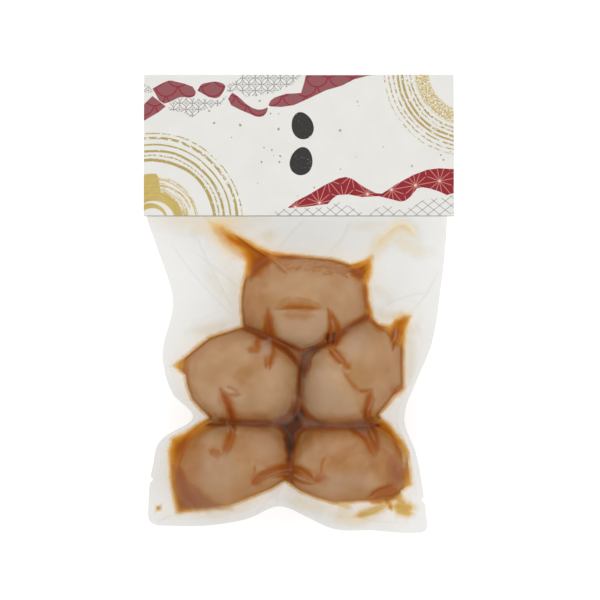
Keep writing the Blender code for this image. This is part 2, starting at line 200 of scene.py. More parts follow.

# Folds of film filled with marinade: half width, optical depth, height and darkness of each, and points.
# The darkness is deep marinade together with painted shade, and a few folds are painted shadow lines.
FOLDS = rows(
    # From the top egg towards the card on the left
    ((1.5, 1.6, 0.5, 0), (-36.7, 33.8, -32.6, 30.6, -28, 28.3, -18.8, 23.7)),
    ((0.6, 1.4, 0.7, 0.42), (-32.1, 33.8, -23.4, 26.9, -11.4, 19.1)),
    ((1.1, 0.7, 0.6, 0), (-16.9, 24.6, -13.2, 21.9, -5.9, 14)),
    ((2.6, 0.7, 0, 0), (-41.3, 37.5, -37.6, 34.3, -32.6, 28.3, -27, 23.7, -23.4, 19.1)),
    ((2, 1.4, 0, 0.26), (-12.3, 20, -16.5, 18.6, -19.7, 15.9, -22, 11.7)),
    ((0.5, 1.4, 0.3, 0), (-13.7, 24.2, -9.6, 22.8, 2.9, 21.4)),
    # Round the top egg
    ((0.7, 1.2, 0.3, 0.32), (-18.8, 25.1, -13.2, 22.5, 0.6, 20.7)),
    ((0.5, 0.7, 0, 0), (-9.6, 22.3, 0.6, 21.9, 7.9, 20.9, 22.2, 18.2, 25.4, 17.2)),
    ((1.2, 1.6, 0.4, 0.3), (23.6, 15.9, 26.8, 14, 30, 11.3)),
    ((1, 1.4, 0, 0), (30, 10.3, 30.9, 4.4, 31.8, -1.2, 34.1, -6.7)),
    ((1, 1.2, 0.4, 0), (-8.6, -2.5, -3.6, -1.8, 1.9, -2.1, 8.8, -2.5)),
    ((1.6, 0.3, 0, 0), (-8.2, -4.8, -0.8, -6, 7, -5.5)),
    ((0.45, 0.8, 0.3, 0.1), (19, 16.3, 28.2, 18.6, 31.4, 20.5)),
    ((0.45, 0.8, 0.3, 0.2), (19.9, 15, 24.5, 15, 29.1, 16.3, 31.4, 18.2)),
    ((0.5, 0.8, 0.3, 0.2), (23.6, 13.1, 26.3, 12.7, 29.5, 14, 31.4, 15.9)),
    # Down the left of its flat, on to the egg below
    ((1.3, 2, 0.9, 0), (-14.2, -2.5, -13.9, -6.7, -12.6, -14, -11.9, -17.2, -11.9, -20.9)),
    ((0.8, 1.2, 0.9, 0.45), (-13.9, -5.8, -11.6, -20)),
    ((0.9, 1.7, 0.7, 0), (-11.9, -19.1, -12.1, -22.8, -13, -26, -13.2, -29.7)),
    ((0.8, 1.5, 0.5, 0.3), (-15.3, -8.5, -15.3, -12.7, -14.9, -16.8)),
    ((0.5, 1.2, 0.4, 0), (-14.9, -22.3, -15.1, -26, -14.9, -29.7)),
    ((1.4, 1.2, 0, 0), (-19.2, -16.3, -18.5, -19.1, -19.2, -21.9)),
    ((1.6, 0.6, 0, 0), (-23.8, -20.9, -20.6, -21.4, -16.9, -20.5)),
    # Down the right of it
    ((0.8, 1.8, 0.8, 0), (13.4, -2.5, 14.4, -5.8, 13.9, -13.6, 13, -17.2, 13.4, -20.5)),
    ((0.8, 1.8, 0.8, 0), (15, -3.5, 16.2, -7.6, 15.7, -16.8, 14.8, -20.5)),
    ((0.8, 1.6, 0.7, 0), (16.7, -6.2, 18, -10.3, 18.3, -14, 16.2, -21.4)),
    ((1, 2, 0.6, 0.9), (13.9, -12.7, 13.2, -15.9, 13.7, -19.6)),
    ((1.2, 1.6, 0, 0.8), (16.2, -12.2, 16, -15.9, 15.3, -19.6)),
    ((0.8, 0.8, 0, 0.5), (18.3, -11.7, 17.8, -15.4, 16.7, -19.1)),
    ((0.7, 1.8, 0.6, 0), (13.4, -20.5, 18, -26, 20.8, -27.8)),
    ((0.7, 1.8, 0.6, 0), (15.3, -20.5, 18, -23.2, 20.3, -26, 22.2, -27.4)),
    ((1.3, 0.9, 0, 0), (20.3, -27.4, 23.6, -29.7)),
    # Between the left eggs
    ((1.5, 2, 0.8, 0), (-35.8, -39.3, -32.3, -46.7, -29.3, -57.7)),
    ((0.9, 1, 0.8, 0.62), (-32.1, -46.2, -29.6, -58.2)),
    ((0.6, 1.2, 0.4, 0), (-34.4, -41.6, -31.2, -41.9, -26.6, -41.6)),
    # A painted shadow line beside a small fold, drawn as marinade depth
    ((0.5, 0.7, 0.3, 0), (-33.5, -38, -30.7, -38.9, -27.5, -40.7)),
    ((1.3, 1.5, 0.7, 0.1), (-31.2, -57.3, -31.9, -61.4, -34.9, -69.2)),
    ((0.7, 1.2, 0.6, 0), (-29.3, -58.2, -30, -61.9, -33.5, -69.7)),
    ((1.6, 1, 0, 0), (-35.3, -69.2, -38.1, -68.8, -41.3, -67.4)),
    # The right middle egg and its pinched corners
    ((0.7, 1.5, 0.2, 0), (32.1, -6.2, 37.8, -11.5, 41, -12.2)),
    ((1.6, 1.4, 0.6, 0), (51.2, -6, 43.3, -10.3)),
    ((1, 1.7, 0.6, 0.2), (43.8, -9.9, 43.8, -13.6, 42.4, -17.2)),
    ((0.7, 1.7, 0.8, 0), (46.1, -9.4, 45.4, -14.5, 43.8, -18.6, 43.3, -21.4)),
    ((0.7, 1.2, 0.5, 0), (47.9, -9.9, 47, -14.5, 45.2, -19.1)),
    ((0.5, 0.4, 0, 0), (47.2, -13.1, 47.7, -29.7, 47.5, -38)),
    ((1.3, 1.4, 0.4, 0), (47.5, -38, 43.3, -42.1)),
    ((0.6, 0.6, 0, 0), (47, -40.2, 36.9, -50.8)),
    ((0.8, 0.5, 0.2, 0), (19.9, -30.6, 22.6, -34.3, 25.9, -38.4, 28.6, -39.8)),
    # Between the right eggs
    ((1.1, 1.9, 0.8, 0), (33.2, -39.8, 30.9, -48.1, 30.2, -52.7)),
    ((0.7, 1.5, 0.6, 0), (34.1, -41.2, 33.4, -45.3, 32.5, -49.5, 32.3, -52.7)),
    ((0.8, 0.8, 0.8, 0.6), (31.1, -47.1, 30.5, -54.1, 31.4, -57.7)),
    ((0.5, 1.3, 0.4, 0), (33.2, -39.3, 30.5, -40.2, 27.2, -40)),
    ((1.2, 1.8, 0.7, 0.2), (30.9, -54.5, 34.1, -62.8, 35.5, -68.8)),
    ((0.7, 1.6, 0.6, 0.2), (32.8, -53.6, 36, -62.8, 36.7, -67.9)),
    ((0.8, 1.9, 0.7, 0.1), (23.1, -55.9, 24.5, -58.2, 28.2, -60, 31.4, -63.7, 33.2, -67.9, 34.6, -70.2)),
    ((0.8, 0.6, 0, 0.5), (22.2, -55.7, 23.6, -56.8, 24.9, -58.7)),
    # The sides of the bottom left egg
    ((0.8, 1.2, 0, 0), (-41.3, -53.1, -49.1, -58.7, -52.8, -62.8, -53.7, -68.3, -55.1, -74.3)),
    ((1, 1.3, 0, 0.1), (-55.1, -74.8, -53.7, -81.2, -51, -86.7)),
    # Across the bottom of both bottom eggs
    ((0.8, 1.8, 0.7, 0), (-21.1, -83.5, -19.7, -80.3, -15.5, -77.5, -5, -74.3, -1.7, -74.8)),
    ((0.8, 2, 0.7, 0), (-19.2, -83, -14.6, -78.9, -3.1, -77, 1.9, -78.9, 5.2, -81.2)),
    ((0.5, 1.3, 0.4, 0), (-12.3, -79.8, -7.3, -79.4, 3.3, -82.6, 7.5, -83)),
    ((1.4, 1.4, 0, 0), (-21.5, -83, -19.7, -81.7, -16.9, -80.3)),
    ((1.2, 1, 0, 0.45), (-9.6, -76.4, -5, -76.1, -0.4, -77)),
    ((0.6, 0.6, 0, 0.45), (-8.2, -79.4, -4.5, -79.8, 0.6, -81.2)),
    ((0.8, 1.8, 0.7, 0), (-4, -74.8, 0.6, -75.7, 4.2, -78, 7, -81.2)),
    ((1.5, 1.2, 0.2, 0), (7, -81.7, 10.2, -80.3, 13.4, -80.3)),
    ((0.4, 0.7, 0.2, 0), (-20.1, -74.3, -20.6, -80.3)),
    ((0.4, 0.6, 0.2, 0), (9.8, -80.3, 10.2, -76.6, 10.7, -72.9, 13, -69.2)),
    # The sides of the bottom right egg
    ((0.5, 0.35, 0, 0), (-5, -82.1, 1.5, -86.2, 7.9, -89, 14.8, -91.3, 28.2, -90.9, 35.5, -90.9, 39.2,
        -91.3)),
    ((0.8, 1.3, 0, 0), (36.4, -53.6, 41, -57.7, 44.3, -63.7, 46.6, -69.2, 47.5, -73.8)),
    ((0.6, 1.6, 0.5, 0.4), (31.8, -89, 35.5, -86.2, 44.7, -83)),
    ((0.5, 1.5, 0.4, 0.35), (33.2, -90.4, 38.3, -88.5, 42.9, -88.1, 46.6, -86.2)),
    ((0.7, 1, 0.3, 0), (35.5, -87.6, 41, -86.2, 45.6, -84.4)),
    ((0.8, 1.4, 0.2, 0), (31.8, -90.4, 35.1, -91.3, 39.2, -91.3)),
    ((2, 1, 0, 0.15), (42.9, -73.8, 45.6, -78, 46.1, -82.1)),
    # Trickles in the seal
    ((1.3, 0.35, 0, 0), (17.6, -91.8, 20.8, -92.7, 24, -94.1)),
    ((1.6, 0.5, 0, 0), (24.9, -98.2, 30, -96.8, 41.5, -92.2)),
    ((0.9, 1.8, 0.2, 0), (39.7, -89.9, 41.5, -92.2, 42.9, -95)),
    ((2.1, 0.6, 0, 0), (42.9, -93.2, 53, -94.1)),
    ((1.7, 0.5, 0, 0), (43.8, -94.5, 47.9, -95.9, 52.5, -96.8)),
    ((1.4, 0.5, 0, 0), (44.3, -89, 46.6, -90.9, 49.8, -92.2)),
    ((1.1, 1.3, 0, 0), (-65.4, -93.4, -63.6, -94.8)),
)

# Crinkles along the upper edge of the top egg: their number, the upper and the lower line that they
# lie between, from left to right, and the four values that each has as a fold
CRINKLES = 34
CRINKLE_UPPER = ((-7.0, 20.8), (24.0, 15.8))
CRINKLE_LOWER = ((-7.0, 16.0), (24.0, 12.6))
CRINKLE_VALUES = (0.35, 0.34, 0.25, 0.0)

# Patches of film with more or less marinade under them than the eggs beside them have: the difference
# in depth, the softness of the edge, how milky the film looks there with a painted sheen, how dark the
# marinade is with painted shade, and points
PATCHES = rows(
    # On the top egg: the strip along its upper edge, and the lens over its flat
    ((0.35, 0.7, 0, 0), (-9, 21.5, 0, 21.2, 8, 20.3, 16, 18.8, 24, 16.8, 20.3, 12.3, 15.8, 15, 9.7, 15.8,
        2.7, 15.2, -1.4, 13.8, -6, 16)),
    ((0.55, 0.5, 0, 0), (-11.6, -2.4, -9, 0.6, -4.5, 3, 0, 3.3, 6, 1.4, 10.9, -1.9, 5.6, -2.6, -0.6,
        -2.4, -6.3, -2.6)),
    ((-0.35, 0.6, 0.1, 0), (-12, -3.2, -11.2, -8.8, -9.2, -14.4, -4.7, -17.8, 1, -19.3, 7.5, -17.8, 11.5,
        -14.1, 12.9, -8.8, 12.8, -3.2, 0, -2.9)),
    ((0.4, 3, 0, 0), (-25.5, 9, -15, 13, -12, 4, -15, -8, -25, -8)),
    ((1.6, 2, 0, 0), (-25, 23.5, -23, 14, -13, 20.5, -12, 23, -18, 26)),
    ((0.8, 1.8, 0, 0), (22.5, 17, 27.5, 11, 32, 10, 33.5, 20, 29, 18)),
    # On the middle eggs
    ((0.25, 1.6, 0, 0), (-14, -24, -20, -24.5, -31, -33, -27, -37, -17, -30)),
    ((0.15, 1.6, 0, 0), (20.3, -28.3, 28.2, -26, 33.7, -27.8, 34.6, -34.3, 33.2, -39.3, 28.6, -40.2,
        23.1, -34.7)),
    ((-0.3, 1.4, 0, 0), (2, -31.5, 13, -29.5, 19.5, -32, 25, -39.5, 28, -50, 14, -53, 4, -48)),
    ((-0.25, 1.5, 0, 0), (-50, -36, -44, -33, -34, -46, -31, -38, -24, -42, -22, -50, -40, -50.5)),
    ((0.9, 1.4, 0, 0), (-57, -28.5, -50.5, -24, -51, -32.5)),
    # On the bottom eggs
    ((1.1, 3, 0, 0), (-55, -61, -46, -60, -43, -72, -45, -86, -54, -92)),
    ((1.1, 3, 0, 0), (33, -56, 45, -64, 50, -76, 45, -88, 36, -82, 31, -68)),
    ((0.55, 2, 0, 0), (2, -58, 12, -55.5, 30, -57, 34, -74, 28, -86, 12, -84, 4, -76)),
    ((1.5, 3.4, 0.12, 0.38), (-57.4, -74.8, -52.8, -82.1, -39, -91.8, -31.6, -94.1, -54.6, -95.5, -57.4,
        -85.8)),
    ((2, 2.2, 0, 0), (-58.8, -68.3, -52.8, -78.4, -51.9, -84, -57.4, -84)),
    ((-1.8, 1.6, 0, 0), (43.8, -57.3, 47.9, -62.8, 51.2, -73.8, 48.9, -75.7, 46.1, -67.4, 42, -60)),
    ((0.5, 2, 0.1, 0.22), (41, -69.2, 45.2, -70.2, 47, -76.6, 45.6, -83, 41, -82.1)),
    ((0.5, 1.9, 0, 0), (-35.3, -70.6, -31.6, -69.7, -28.9, -70.2, -25.7, -72.9, -20.1, -73.4, -13, -76,
        -8, -71, -8, -60, -15, -57, -26, -58, -30.5, -62.5)),
    ((0.45, 1.3, 0, 0), (12.5, -74.8, 14.8, -70.2, 20.3, -66.5, 26.3, -65.1, 24.5, -69.7, 19.4, -73.8)),
    ((-0.25, 1.2, 0, 0), (-0.2, -60, 5, -57.5, 9, -60, 9.5, -70, 7, -77, 1.5, -73)),
    ((0.8, 2, 0, 0), (31.8, -88.5, 36, -85.8, 44.3, -83, 45.6, -89.5, 37.8, -90.9)),
    # In the pockets, and the web over the right one
    ((0.6, 2, 0.2, 0.66), (0.6, -24.2, 3.3, -21.4, 8.4, -20, 8.8, -21.4, 6.1, -24.6, 3.3, -32.4, 1.5,
        -28.8)),
    ((0.6, 2.4, 0, 0.66), (-10.5, -54.1, -5.9, -52.2, -3.6, -49.5, -2.2, -46.2, -0.8, -47.6, 1.9, -54.1,
        7.9, -55.4, 6.1, -57.3, 1.5, -58.2, -1.7, -62.8, -3.1, -67.4, -5, -65.5, -7.3, -57.3, -10.5,
        -55.9)),
    ((0, 2.4, 0.24, 0), (-13.2, -53.6, -7.7, -50.8, -3.6, -49.9, -3.1, -53.6, -7.7, -55.9, -13.2,
        -55.4)),
    ((0, 2.4, 0.24, 0), (0.6, -50.8, 2.4, -53.1, 10.7, -54.1, 10.7, -56.8, 4.2, -56.8, 1, -54.1)),
    ((0, 1.6, 0.16, 0), (10, -54.6, 27, -53.6, 27, -56, 10, -58.2)),
    ((0, 1.4, 0.12, 0), (-27, -53.6, -13, -54, -13, -56.4, -27, -56)),
    ((0.9, 3.2, 0, 0), (-1.3, -59.1, 4.2, -57.3, 10.7, -58.2, 1.5, -67.4, -1.7, -68.3)),
    ((0.7, 3, 0, 0), (-6.8, -59.1, -10.5, -57.3, -16.9, -57.7, -12.3, -60, -6.3, -68.3)),
    ((0.5, 0.9, 0.2, 0.25), (21.7, -54.1, 30, -53.1, 31.8, -57.3, 30.9, -61.9, 27.2, -58.7, 23.6,
        -56.8)),
    ((0.4, 1.2, 0.05, 0.8), (-9.5, -55.6, -3.5, -52.6, 3.5, -56.5, -0.8, -60, -4.4, -73, -6.2, -66, -7,
        -60)),
    # Milky film over the eggs, partly a painted sheen and painted highlights
    ((0, 1.4, 0.1, 0), (0.6, -40, -2.4, -40, -4.2, -51, -0.8, -51)),
    ((0, 2.5, 0.22, 0), (22.5, -10.5, 30.9, -11.5, 34, -18, 29.1, -23, 23, -24.2, 21, -18)),
    ((0, 1.6, 0.4, 0), (-16.9, -17.2, -13.7, -16.8, -13.2, -22.3, -15.5, -25.1, -17.8, -21.4)),
    ((0, 3, 0.19, 0), (-45.4, -69.7, -30.7, -68.3, -27, -76.6, -35.3, -85.8, -47.7, -84)),
    ((0, 3, 0.22, 0), (10.7, -78.4, 29.1, -76.6, 30.9, -84, 16.7, -87.6, 8.8, -84.9)),
    ((0, 2, 0.14, 0), (-24.3, -58.2, -10.5, -59.1, -8.6, -66.5, -16.9, -68.3, -24.3, -65.5)),
    ((0, 2.5, 0.2, 0), (1.5, -31.5, 10.7, -27.8, 21.3, -40.7, 24.5, -50.8, 5.2, -51.8, 0.6, -44.4)),
    ((0, 2, 0.18, 0), (-34.4, -37, -27, -38, -24.3, -44.4, -28, -49)),
    ((0.2, 0.8, 0.12, 0), (-7.3, 19.6, 0.6, 20.5, 14.4, 19.1, 24.5, 15.4, 20.8, 13.6, 10.7, 17.2, -1.3,
        16.3)),
)

# Folds of film without marinade, which shine pale along a line as painted highlights: half width, strength,
# and points
STREAKS = rows(
    ((0.5, 0.4), (-11.9, 20.6, -7.9, 17.2, -5, 14.2)),
    ((0.4, 0.22), (-1.4, 13.8, 2.7, 15.2, 9.7, 15.8, 15.8, 15, 20.3, 12.3)),
    ((0.35, 0.2), (-12.1, -3.4, -0.6, -3, 10.9, -3.2)),
    ((0.4, 0.26), (-12, -3.5, -11, -8.8, -9, -14.4, 1, -19.2, 7.4, -17.6, 11.2, -14, 12.7, -8.8, 12.6,
        -3.5)),
    ((0.35, 0.22), (11.7, -4.5, 11.8, -8.8, 10.6, -13)),
    ((0.9, 0.35), (-16.6, -23, -14.9, -20.2)),
    ((0.6, 0.3), (-24.5, -22.8, -21.2, -23.7, -17.3, -23.7)),
    ((0.4, 0.25), (-36.7, -40.3, -35.1, -45.1, -33.5, -51.4)),
    ((0.6, 0.3), (-33, -36.5, -29.6, -37.6, -27.2, -40)),
    ((0.35, 0.35), (-33.3, -53, -32.6, -56.6, -32.2, -60.4)),
    ((0.3, 0.3), (14.2, -6.5, 16.1, -10, 16.1, -14)),
    ((0.3, 0.25), (15.1, -20.6, 21, -27.6)),
    ((0.35, 0.35), (44.7, -10.6, 44.6, -14, 43.6, -18)),
    ((0.35, 0.3), (34.1, -41.5, 33.5, -45, 31.8, -49.6)),
    ((0.4, 0.3), (31, -54.5, 35.4, -64)),
    ((0.35, 0.3), (-17.5, -81.2, -12.5, -78.2, -6, -76.5, -1, -76.6)),
    ((0.3, 0.25), (-1, -77.6, 3, -79.4, 7.5, -82)),
    ((0.5, 0.35), (45.4, -75.4, 45.9, -77)),
    ((1, 0.13), (-14, -53.3, -4, -52.4)),
    ((0.9, 0.15), (0, -54.2, 8, -54.8, 16, -54.6)),
    ((1.3, 0.16), (-0.5, -22.7, 2, -23.2, 4.5, -22.7)),
    ((0.35, 0.22), (34, -68, 30.5, -74, 24, -78, 18, -80)),
)

# The dark marinade where two eggs meet, with painted shade there: half width, darkness, and points
VALLEYS = rows(
    ((1.5, 0.54), (-23.4, -11.7, -16.9, -15.4, -4, -23.2, -0.8, -27.4, 1, -31.1)),
    ((1.2, 0.54), (29.5, -8.5, 21.7, -12.2, 18, -15.4, 5.6, -21.9)),
    ((1.1, 0.5), (1.5, -28.8, 1.7, -32, 1.5, -35.2)),
    ((0.8, 0.44), (1.5, -34.3, -0.1, -40.5, -1.1, -43)),
    ((1, 0.5), (-0.1, -43, -0.6, -45.8, -2.7, -51.3)),
    ((1.2, 0.38), (-37.2, -53.1, -35.3, -53.6, -31.2, -54.1)),
    ((1.5, 0.54), (-31.2, -54.1, -15.5, -55.4, -11.4, -55.2)),
    ((1.8, 0.52), (6.1, -56.8, 23.1, -55.7, 28.6, -54.3)),
    ((1.3, 0.36), (28.6, -54.3, 35, -52.1)),
    ((1.5, 0.68), (-3.1, -61, -3.1, -65.1, -3.6, -67.4, -3.8, -69.7, -4.7, -72, -4.7, -75.2)),
)

# Ridges in the empty film round the contents: height, half width, and points
RIM_RIDGES = rows(
    ((0.35, 1.3), (-27, -9, -40, 4, -52, 18, -60, 30)),
    ((0.3, 1), (-27, -8, -36, 8, -44, 24, -50, 38)),
    ((0.3, 1.2), (-26, 6, -38, 16, -50, 25)),
    ((0.35, 1.4), (34, 23, 39, 30, 48, 36, 56, 27)),
    ((0.3, 1.2), (34, -4, 46, 2, 62, 6)),
    ((0.3, 1.1), (51, -5, 57, 2, 64, 14)),
    ((0.25, 1), (-57, -28.6, -62, -29)),
    ((0.3, 1.2), (48, -39, 53, -36)),
    ((0.3, 1.2), (-9, -83, -10, -92)),
    ((0.3, 1.3), (-8, -84, -20, -97)),
    ((0.25, 1.2), (20, -93, 30, -99, 48, -101)),
    ((0.3, 1.2), (-58, -97, -66, -101)),
    ((0.25, 1.2), (-10, 24, -4, 32, 4, 40)),
    ((0.25, 1.4), (12, 22, 20, 30, 24, 40)),
)
CREASE_WIDTH = 0.42         # half the width of the dense line in each ridge

# Faint yellow stains of the film: half width, strength, and points
STAINS = rows(
    ((3, 1), (14.4, -96.8, 29.1, -99.1, 34.1, -97.8)),
    ((3, 0.6), (-5, -90.4, 14.4, -95.9)),
    ((3, 0.5), (-45.4, -96.8, -33.9, -95.5, -20.1, -91.8)),
    ((3.5, 0.8), (38.7, 32.9, 46.6, 29.2, 53.9, 24.6, 60.4, 23.7)),
    ((3, 0.8), (-51.9, 32.4, -35.3, 35.6)),
    ((3, 0.4), (-43.1, 16.3, -33.5, 1.6)),
    ((3, 0.5), (44.7, -12.7, 52.1, -12.2, 55.8, -8.5)),
    ((2.5, 0.45), (23.6, 35.6, 51.2, 36.6)),
    ((2.5, 0.35), (33.7, 7.1, 39.2, 4.4, 42.9, -1.2)),
    ((3.2, 1.5), (34.1, 22.3, 39.2, 29.7, 47.9, 35.2, 51.6, 33.4, 54.4, 29.2)),
    ((2.4, 0.8), (-16.9, 31.1, -11.4, 31.2)),
    ((3, 0.9), (-43.1, 38.4, -33.9, 36.1)),
    ((1.6, 1.2), (-47.7, 35.6, -45.9, 34.7)),
    ((2.2, 0.5), (-51, -12.7, -40.8, -11.7, -30.7, -8.1)),
    ((4, 0.35), (-32.6, 15.4, -28.9, -3.9)),
    ((2.2, 0.6), (34.1, -3.5, 42, -5.8, 50.7, -4.4)),
    ((2.6, 0.5), (50.7, -12.2, 51.2, -25.1, 49.8, -38)),
    ((5, 0.8), (-68.4, 38.9, -45.4, 37.5, -16.9, 38.9)),
    # Trickles in the seal at the bottom right
    ((1.4, 1.5), (17.6, -91.8, 24, -94.1)),
    ((1.7, 3), (24.9, -98.2, 30, -96.8, 41.5, -92.2)),
    ((2.2, 3.4), (42.9, -93.2, 53, -94.1)),
    ((1.8, 3), (43.8, -94.5, 52.5, -96.8)),
    ((1.5, 3), (44.3, -89, 46.6, -90.9, 49.8, -92.2)),
)

# Optical depths
ABSORPTION = (0.14, 0.45, 0.90)         # of the marinade, for red, green and blue
BASE_DEPTH = 0.17           # over an egg that the film lies on
BASE_LUMPS = ((0.6, 8.0, 3), (0.35, 3.0, 4))    # its unevenness, as strength, size and seed
GAP_RATE = 0.7              # for each millimetre between the film and an egg
DEEPEST = 6.5               # greater depths come ever closer to this
FRINGE_RATE = 1.5           # one millimetre inside the outline of the contents, with no egg under it
FRINGE_GROWTH = 0.9
EDGE_DEPTH = 0.8            # along the dark line just inside the outline
EDGE_PLACE = 0.6
EDGE_HALF_WIDTH = 0.45
# Darkening of that line, partly painted shade at the eggs' edges
EDGE_GLOOM = 0.26
EDGE_LOWEST = 0.25          # share of it along the foot of the lowest eggs, and the Y where it grows to 1
EDGE_LOWEST_Y = (-92.0, -80.0)
EDGE_BY_EGG = 1.2           # how near an egg has to be for this line
EDGE_ALONE, EDGE_ON_EGG = 0.2, 1.8      # share of the line away from any egg, and on one
EDGE_SHADE = 0.65           # just inside the outline, fading inwards
EDGE_SHADE_REACH = 3.2
OUTLINE_FADE = (-0.3, 0.3)  # distances inside the outline between which this sets in
PATCH_SHARE = 0.55          # share of the patches' listed depths
PATCH_UNEVENNESS = 0.7      # how far their edges wander, in lumps of this size
PATCH_LUMPS = 2.6
FOLD_PROFILE = ((0.55, 2.0), (1.7, 0.9))    # a fold's wide skirt and dark core: shares of its values
FOLD_RISE = 0.5             # share of the folds' listed heights
FOLD_FOOT = 0.35            # how much wider a fold is raised than it is coloured
FADED_END = 0.35            # strength of a stroke at its ends
CONTACT_SCALE = 11.0        # from a difference of the eggs' levels to millimetres
CONTACT_LEVEL = 1.1         # level of the further egg up to which two eggs touch
CONTACT_HALF_WIDTH = 0.8
CONTACT_DEPTH = 2.4
# Darkening where two eggs touch: deep marinade and painted shade
CONTACT_GLOOM = 0.50
CONTACT_FADE = (-0.3, 1.2)  # distances inside the outline between which contacts set in
DARK_FADE = (-0.2, 1.6)     # the same for everything dark
VALLEY_DEPTH = 0.75         # round the line where two eggs meet: marinade that also stands in for painted shade there
VALLEY_SPREAD = 2.3         # how wide that is, as a multiple of the valley's dark core
HALO_DEPTH = 0.17           # in the sealed rim next to the contents
HALO_REACH = 4.5
HALO_LUMPS = (0.7, 9.0, 5)
SEEP_DEPTH = 0.8            # the same, close to them
SEEP_REACH = 0.8
SEEP_LUMPS = (0.5, 4.0, 6)
LOWER_EGG_SHARE = 0.25      # how far the lower skin is coloured as over an egg, at least
LEAST_DEPTH = 0.02          # less than this isn't modelled
LEAST_INSIDE = 0.03         # inside the outline, however pale a patch is
# Darkening of the marinade in gaps, pockets and pinched corners: partly deep marinade and partly painted
# shade
GAP_GLOOM = (2.0, 7.0)      # gap between film and egg from which marinade darkens, with painted shade, and where it is dark
GAP_DARKNESS = 0.8
INNER_GLOOM = (2.8, 6.5)    # distance inside the outline, with no egg under it, in the pockets
CORNER_GLOOM = (0.4, 3.2)   # the same in the pinched corners
CORNER_DARKNESS = 0.27
POCKET_SPREAD = 0.65        # how far a pocket's darkness spreads, as a share of its radius
BLUR = 0.75                 # how far colours run into each other


def curve(t, span, start, end, start_slope, end_slope):
    """Cubic curve from start to end with the given slopes, at shares t of the span."""
    return ((2 * t**3 - 3 * t**2 + 1) * start + (t**3 - 2 * t**2 + t) * span * start_slope
            + (3 * t**2 - 2 * t**3) * end + (t**3 - t**2) * span * end_slope)


def smooth_line(points, at):
    """Value of a smooth curve through the points (place, value), read at each place in the array."""
    places, values = np.array(points).T
    slopes = np.gradient(values, places)
    slopes[0] = slopes[-1] = 0.0
    at = np.clip(at, places[0], places[-1])
    i = np.clip(np.searchsorted(places, at) - 1, 0, len(places) - 2)
    span = places[i + 1] - places[i]
    return curve((at - places[i]) / span, span, values[i], values[i + 1], slopes[i], slopes[i + 1])


def smooth_path(points, parts=5):
    """Points of a smooth curve through the given ones."""
    if len(points) < 3:
        return points
    length = np.concatenate(([0.0], np.cumsum(np.hypot(*np.diff(points, axis=0).T))))
    slopes = np.gradient(points, length, axis=0)
    t = np.linspace(0.0, 1.0, parts, endpoint=False)[:, None]
    path = [curve(t, length[k + 1] - length[k], points[k], points[k + 1], slopes[k], slopes[k + 1])
            for k in range(len(points) - 1)]
    return np.concatenate(path + [points[-1:]])


def smooth_step(low, high, value):
    """0 up to low and 1 from high on, with a smooth rise between."""
    t = np.clip((value - low) / (high - low), 0.0, 1.0)
    return t * t * (3.0 - 2.0 * t)


def between(table, i, j, s, t):
    """Value of a table at shares s and t of the way from row i and column j to the next ones."""
    i, j, down, right = (k % n for k, n in zip((i, j, i + 1, j + 1), table.shape * 2))
    return ((table[i, j] * (1 - t) + table[i, right] * t) * (1 - s)
            + (table[down, j] * (1 - t) + table[down, right] * t) * s)


def smooth_noise(x, y, size, seed):
    """Smooth noise from -1 to 1 with lumps of the given size."""
    count = 64
    table = np.random.default_rng(seed).uniform(-1.0, 1.0, (count, count))
    column, row = x / size + count * 4, y / size + count * 4
    i, j = np.floor(row).astype(int), np.floor(column).astype(int)
    return between(table, i, j, smooth_step(0.0, 1.0, row - i), smooth_step(0.0, 1.0, column - j))


def lumpy(x, y, *layers):
    """1, made uneven by layers of smooth noise, each with its strength, size and seed."""
    return 1.0 + sum(strength * smooth_noise(x, y, size, seed) for strength, size, seed in layers)


def blurred(values, reach):
    """The values of a lattice, each run into its neighbours out to about the reach."""
    spread = reach / LATTICE
    steps = range(-math.ceil(spread * 2.5), math.ceil(spread * 2.5) + 1)
    weights = [math.exp(-(k / spread) ** 2 / 2) for k in steps]
    for axis in (0, 1):
        total = sum(w * np.roll(values, k, axis) for k, w in zip(steps, weights))
        values = total / sum(weights)
    return values


def sides_of(points):
    """Start and end of each side of a polygon."""
    return zip(points, np.roll(points, -1, axis=0))


def from_line(x, y, start, end):
    """How far places are from a straight line, and at which share of it they are."""
    x, y = x - start[0], y - start[1]
    run_x, run_y = end - start
    t = np.clip((x * run_x + y * run_y) / (run_x**2 + run_y**2), 0.0, 1.0)
    return np.hypot(x - t * run_x, y - t * run_y), t


def in_polygon(points, x, y):
    """How far places are inside a polygon, or outside it where that is less than 0."""
    near, inside = np.full_like(x, FAR), np.zeros(x.shape, bool)
    for start, end in sides_of(points):
        near = np.minimum(near, from_line(x, y, start, end)[0])
        run_x, run_y = end - start
        if run_y:
            crossing = start[0] + (y - start[1]) / run_y * run_x
            inside ^= ((start[1] > y) != (end[1] > y)) & (x < crossing)
    return np.where(inside, near, -near)


def crinkles():
    """Short fine folds at random places between an upper and a lower line."""
    chance = np.random.default_rng(5)
    folds = []
    for _ in range(CRINKLES):
        place, down = chance.uniform(0.03, 0.97), chance.uniform(0.0, 1.0)
        turn, half_length = chance.normal(0.0, 0.5), chance.uniform(0.8, 2.2)
        (x, top), (_, bottom) = [start + place * (end - start) for start, end in
                                 (np.array(CRINKLE_UPPER), np.array(CRINKLE_LOWER))]
        y = top + down * (bottom - top)
        step_x, step_y = half_length * math.cos(turn), half_length * math.sin(turn)
        bend = chance.normal(0.0, 0.3)
        folds.append((CRINKLE_VALUES, pairs(x - step_x, y - step_y, x, y + bend, x + step_x, y + step_y)))
    return folds


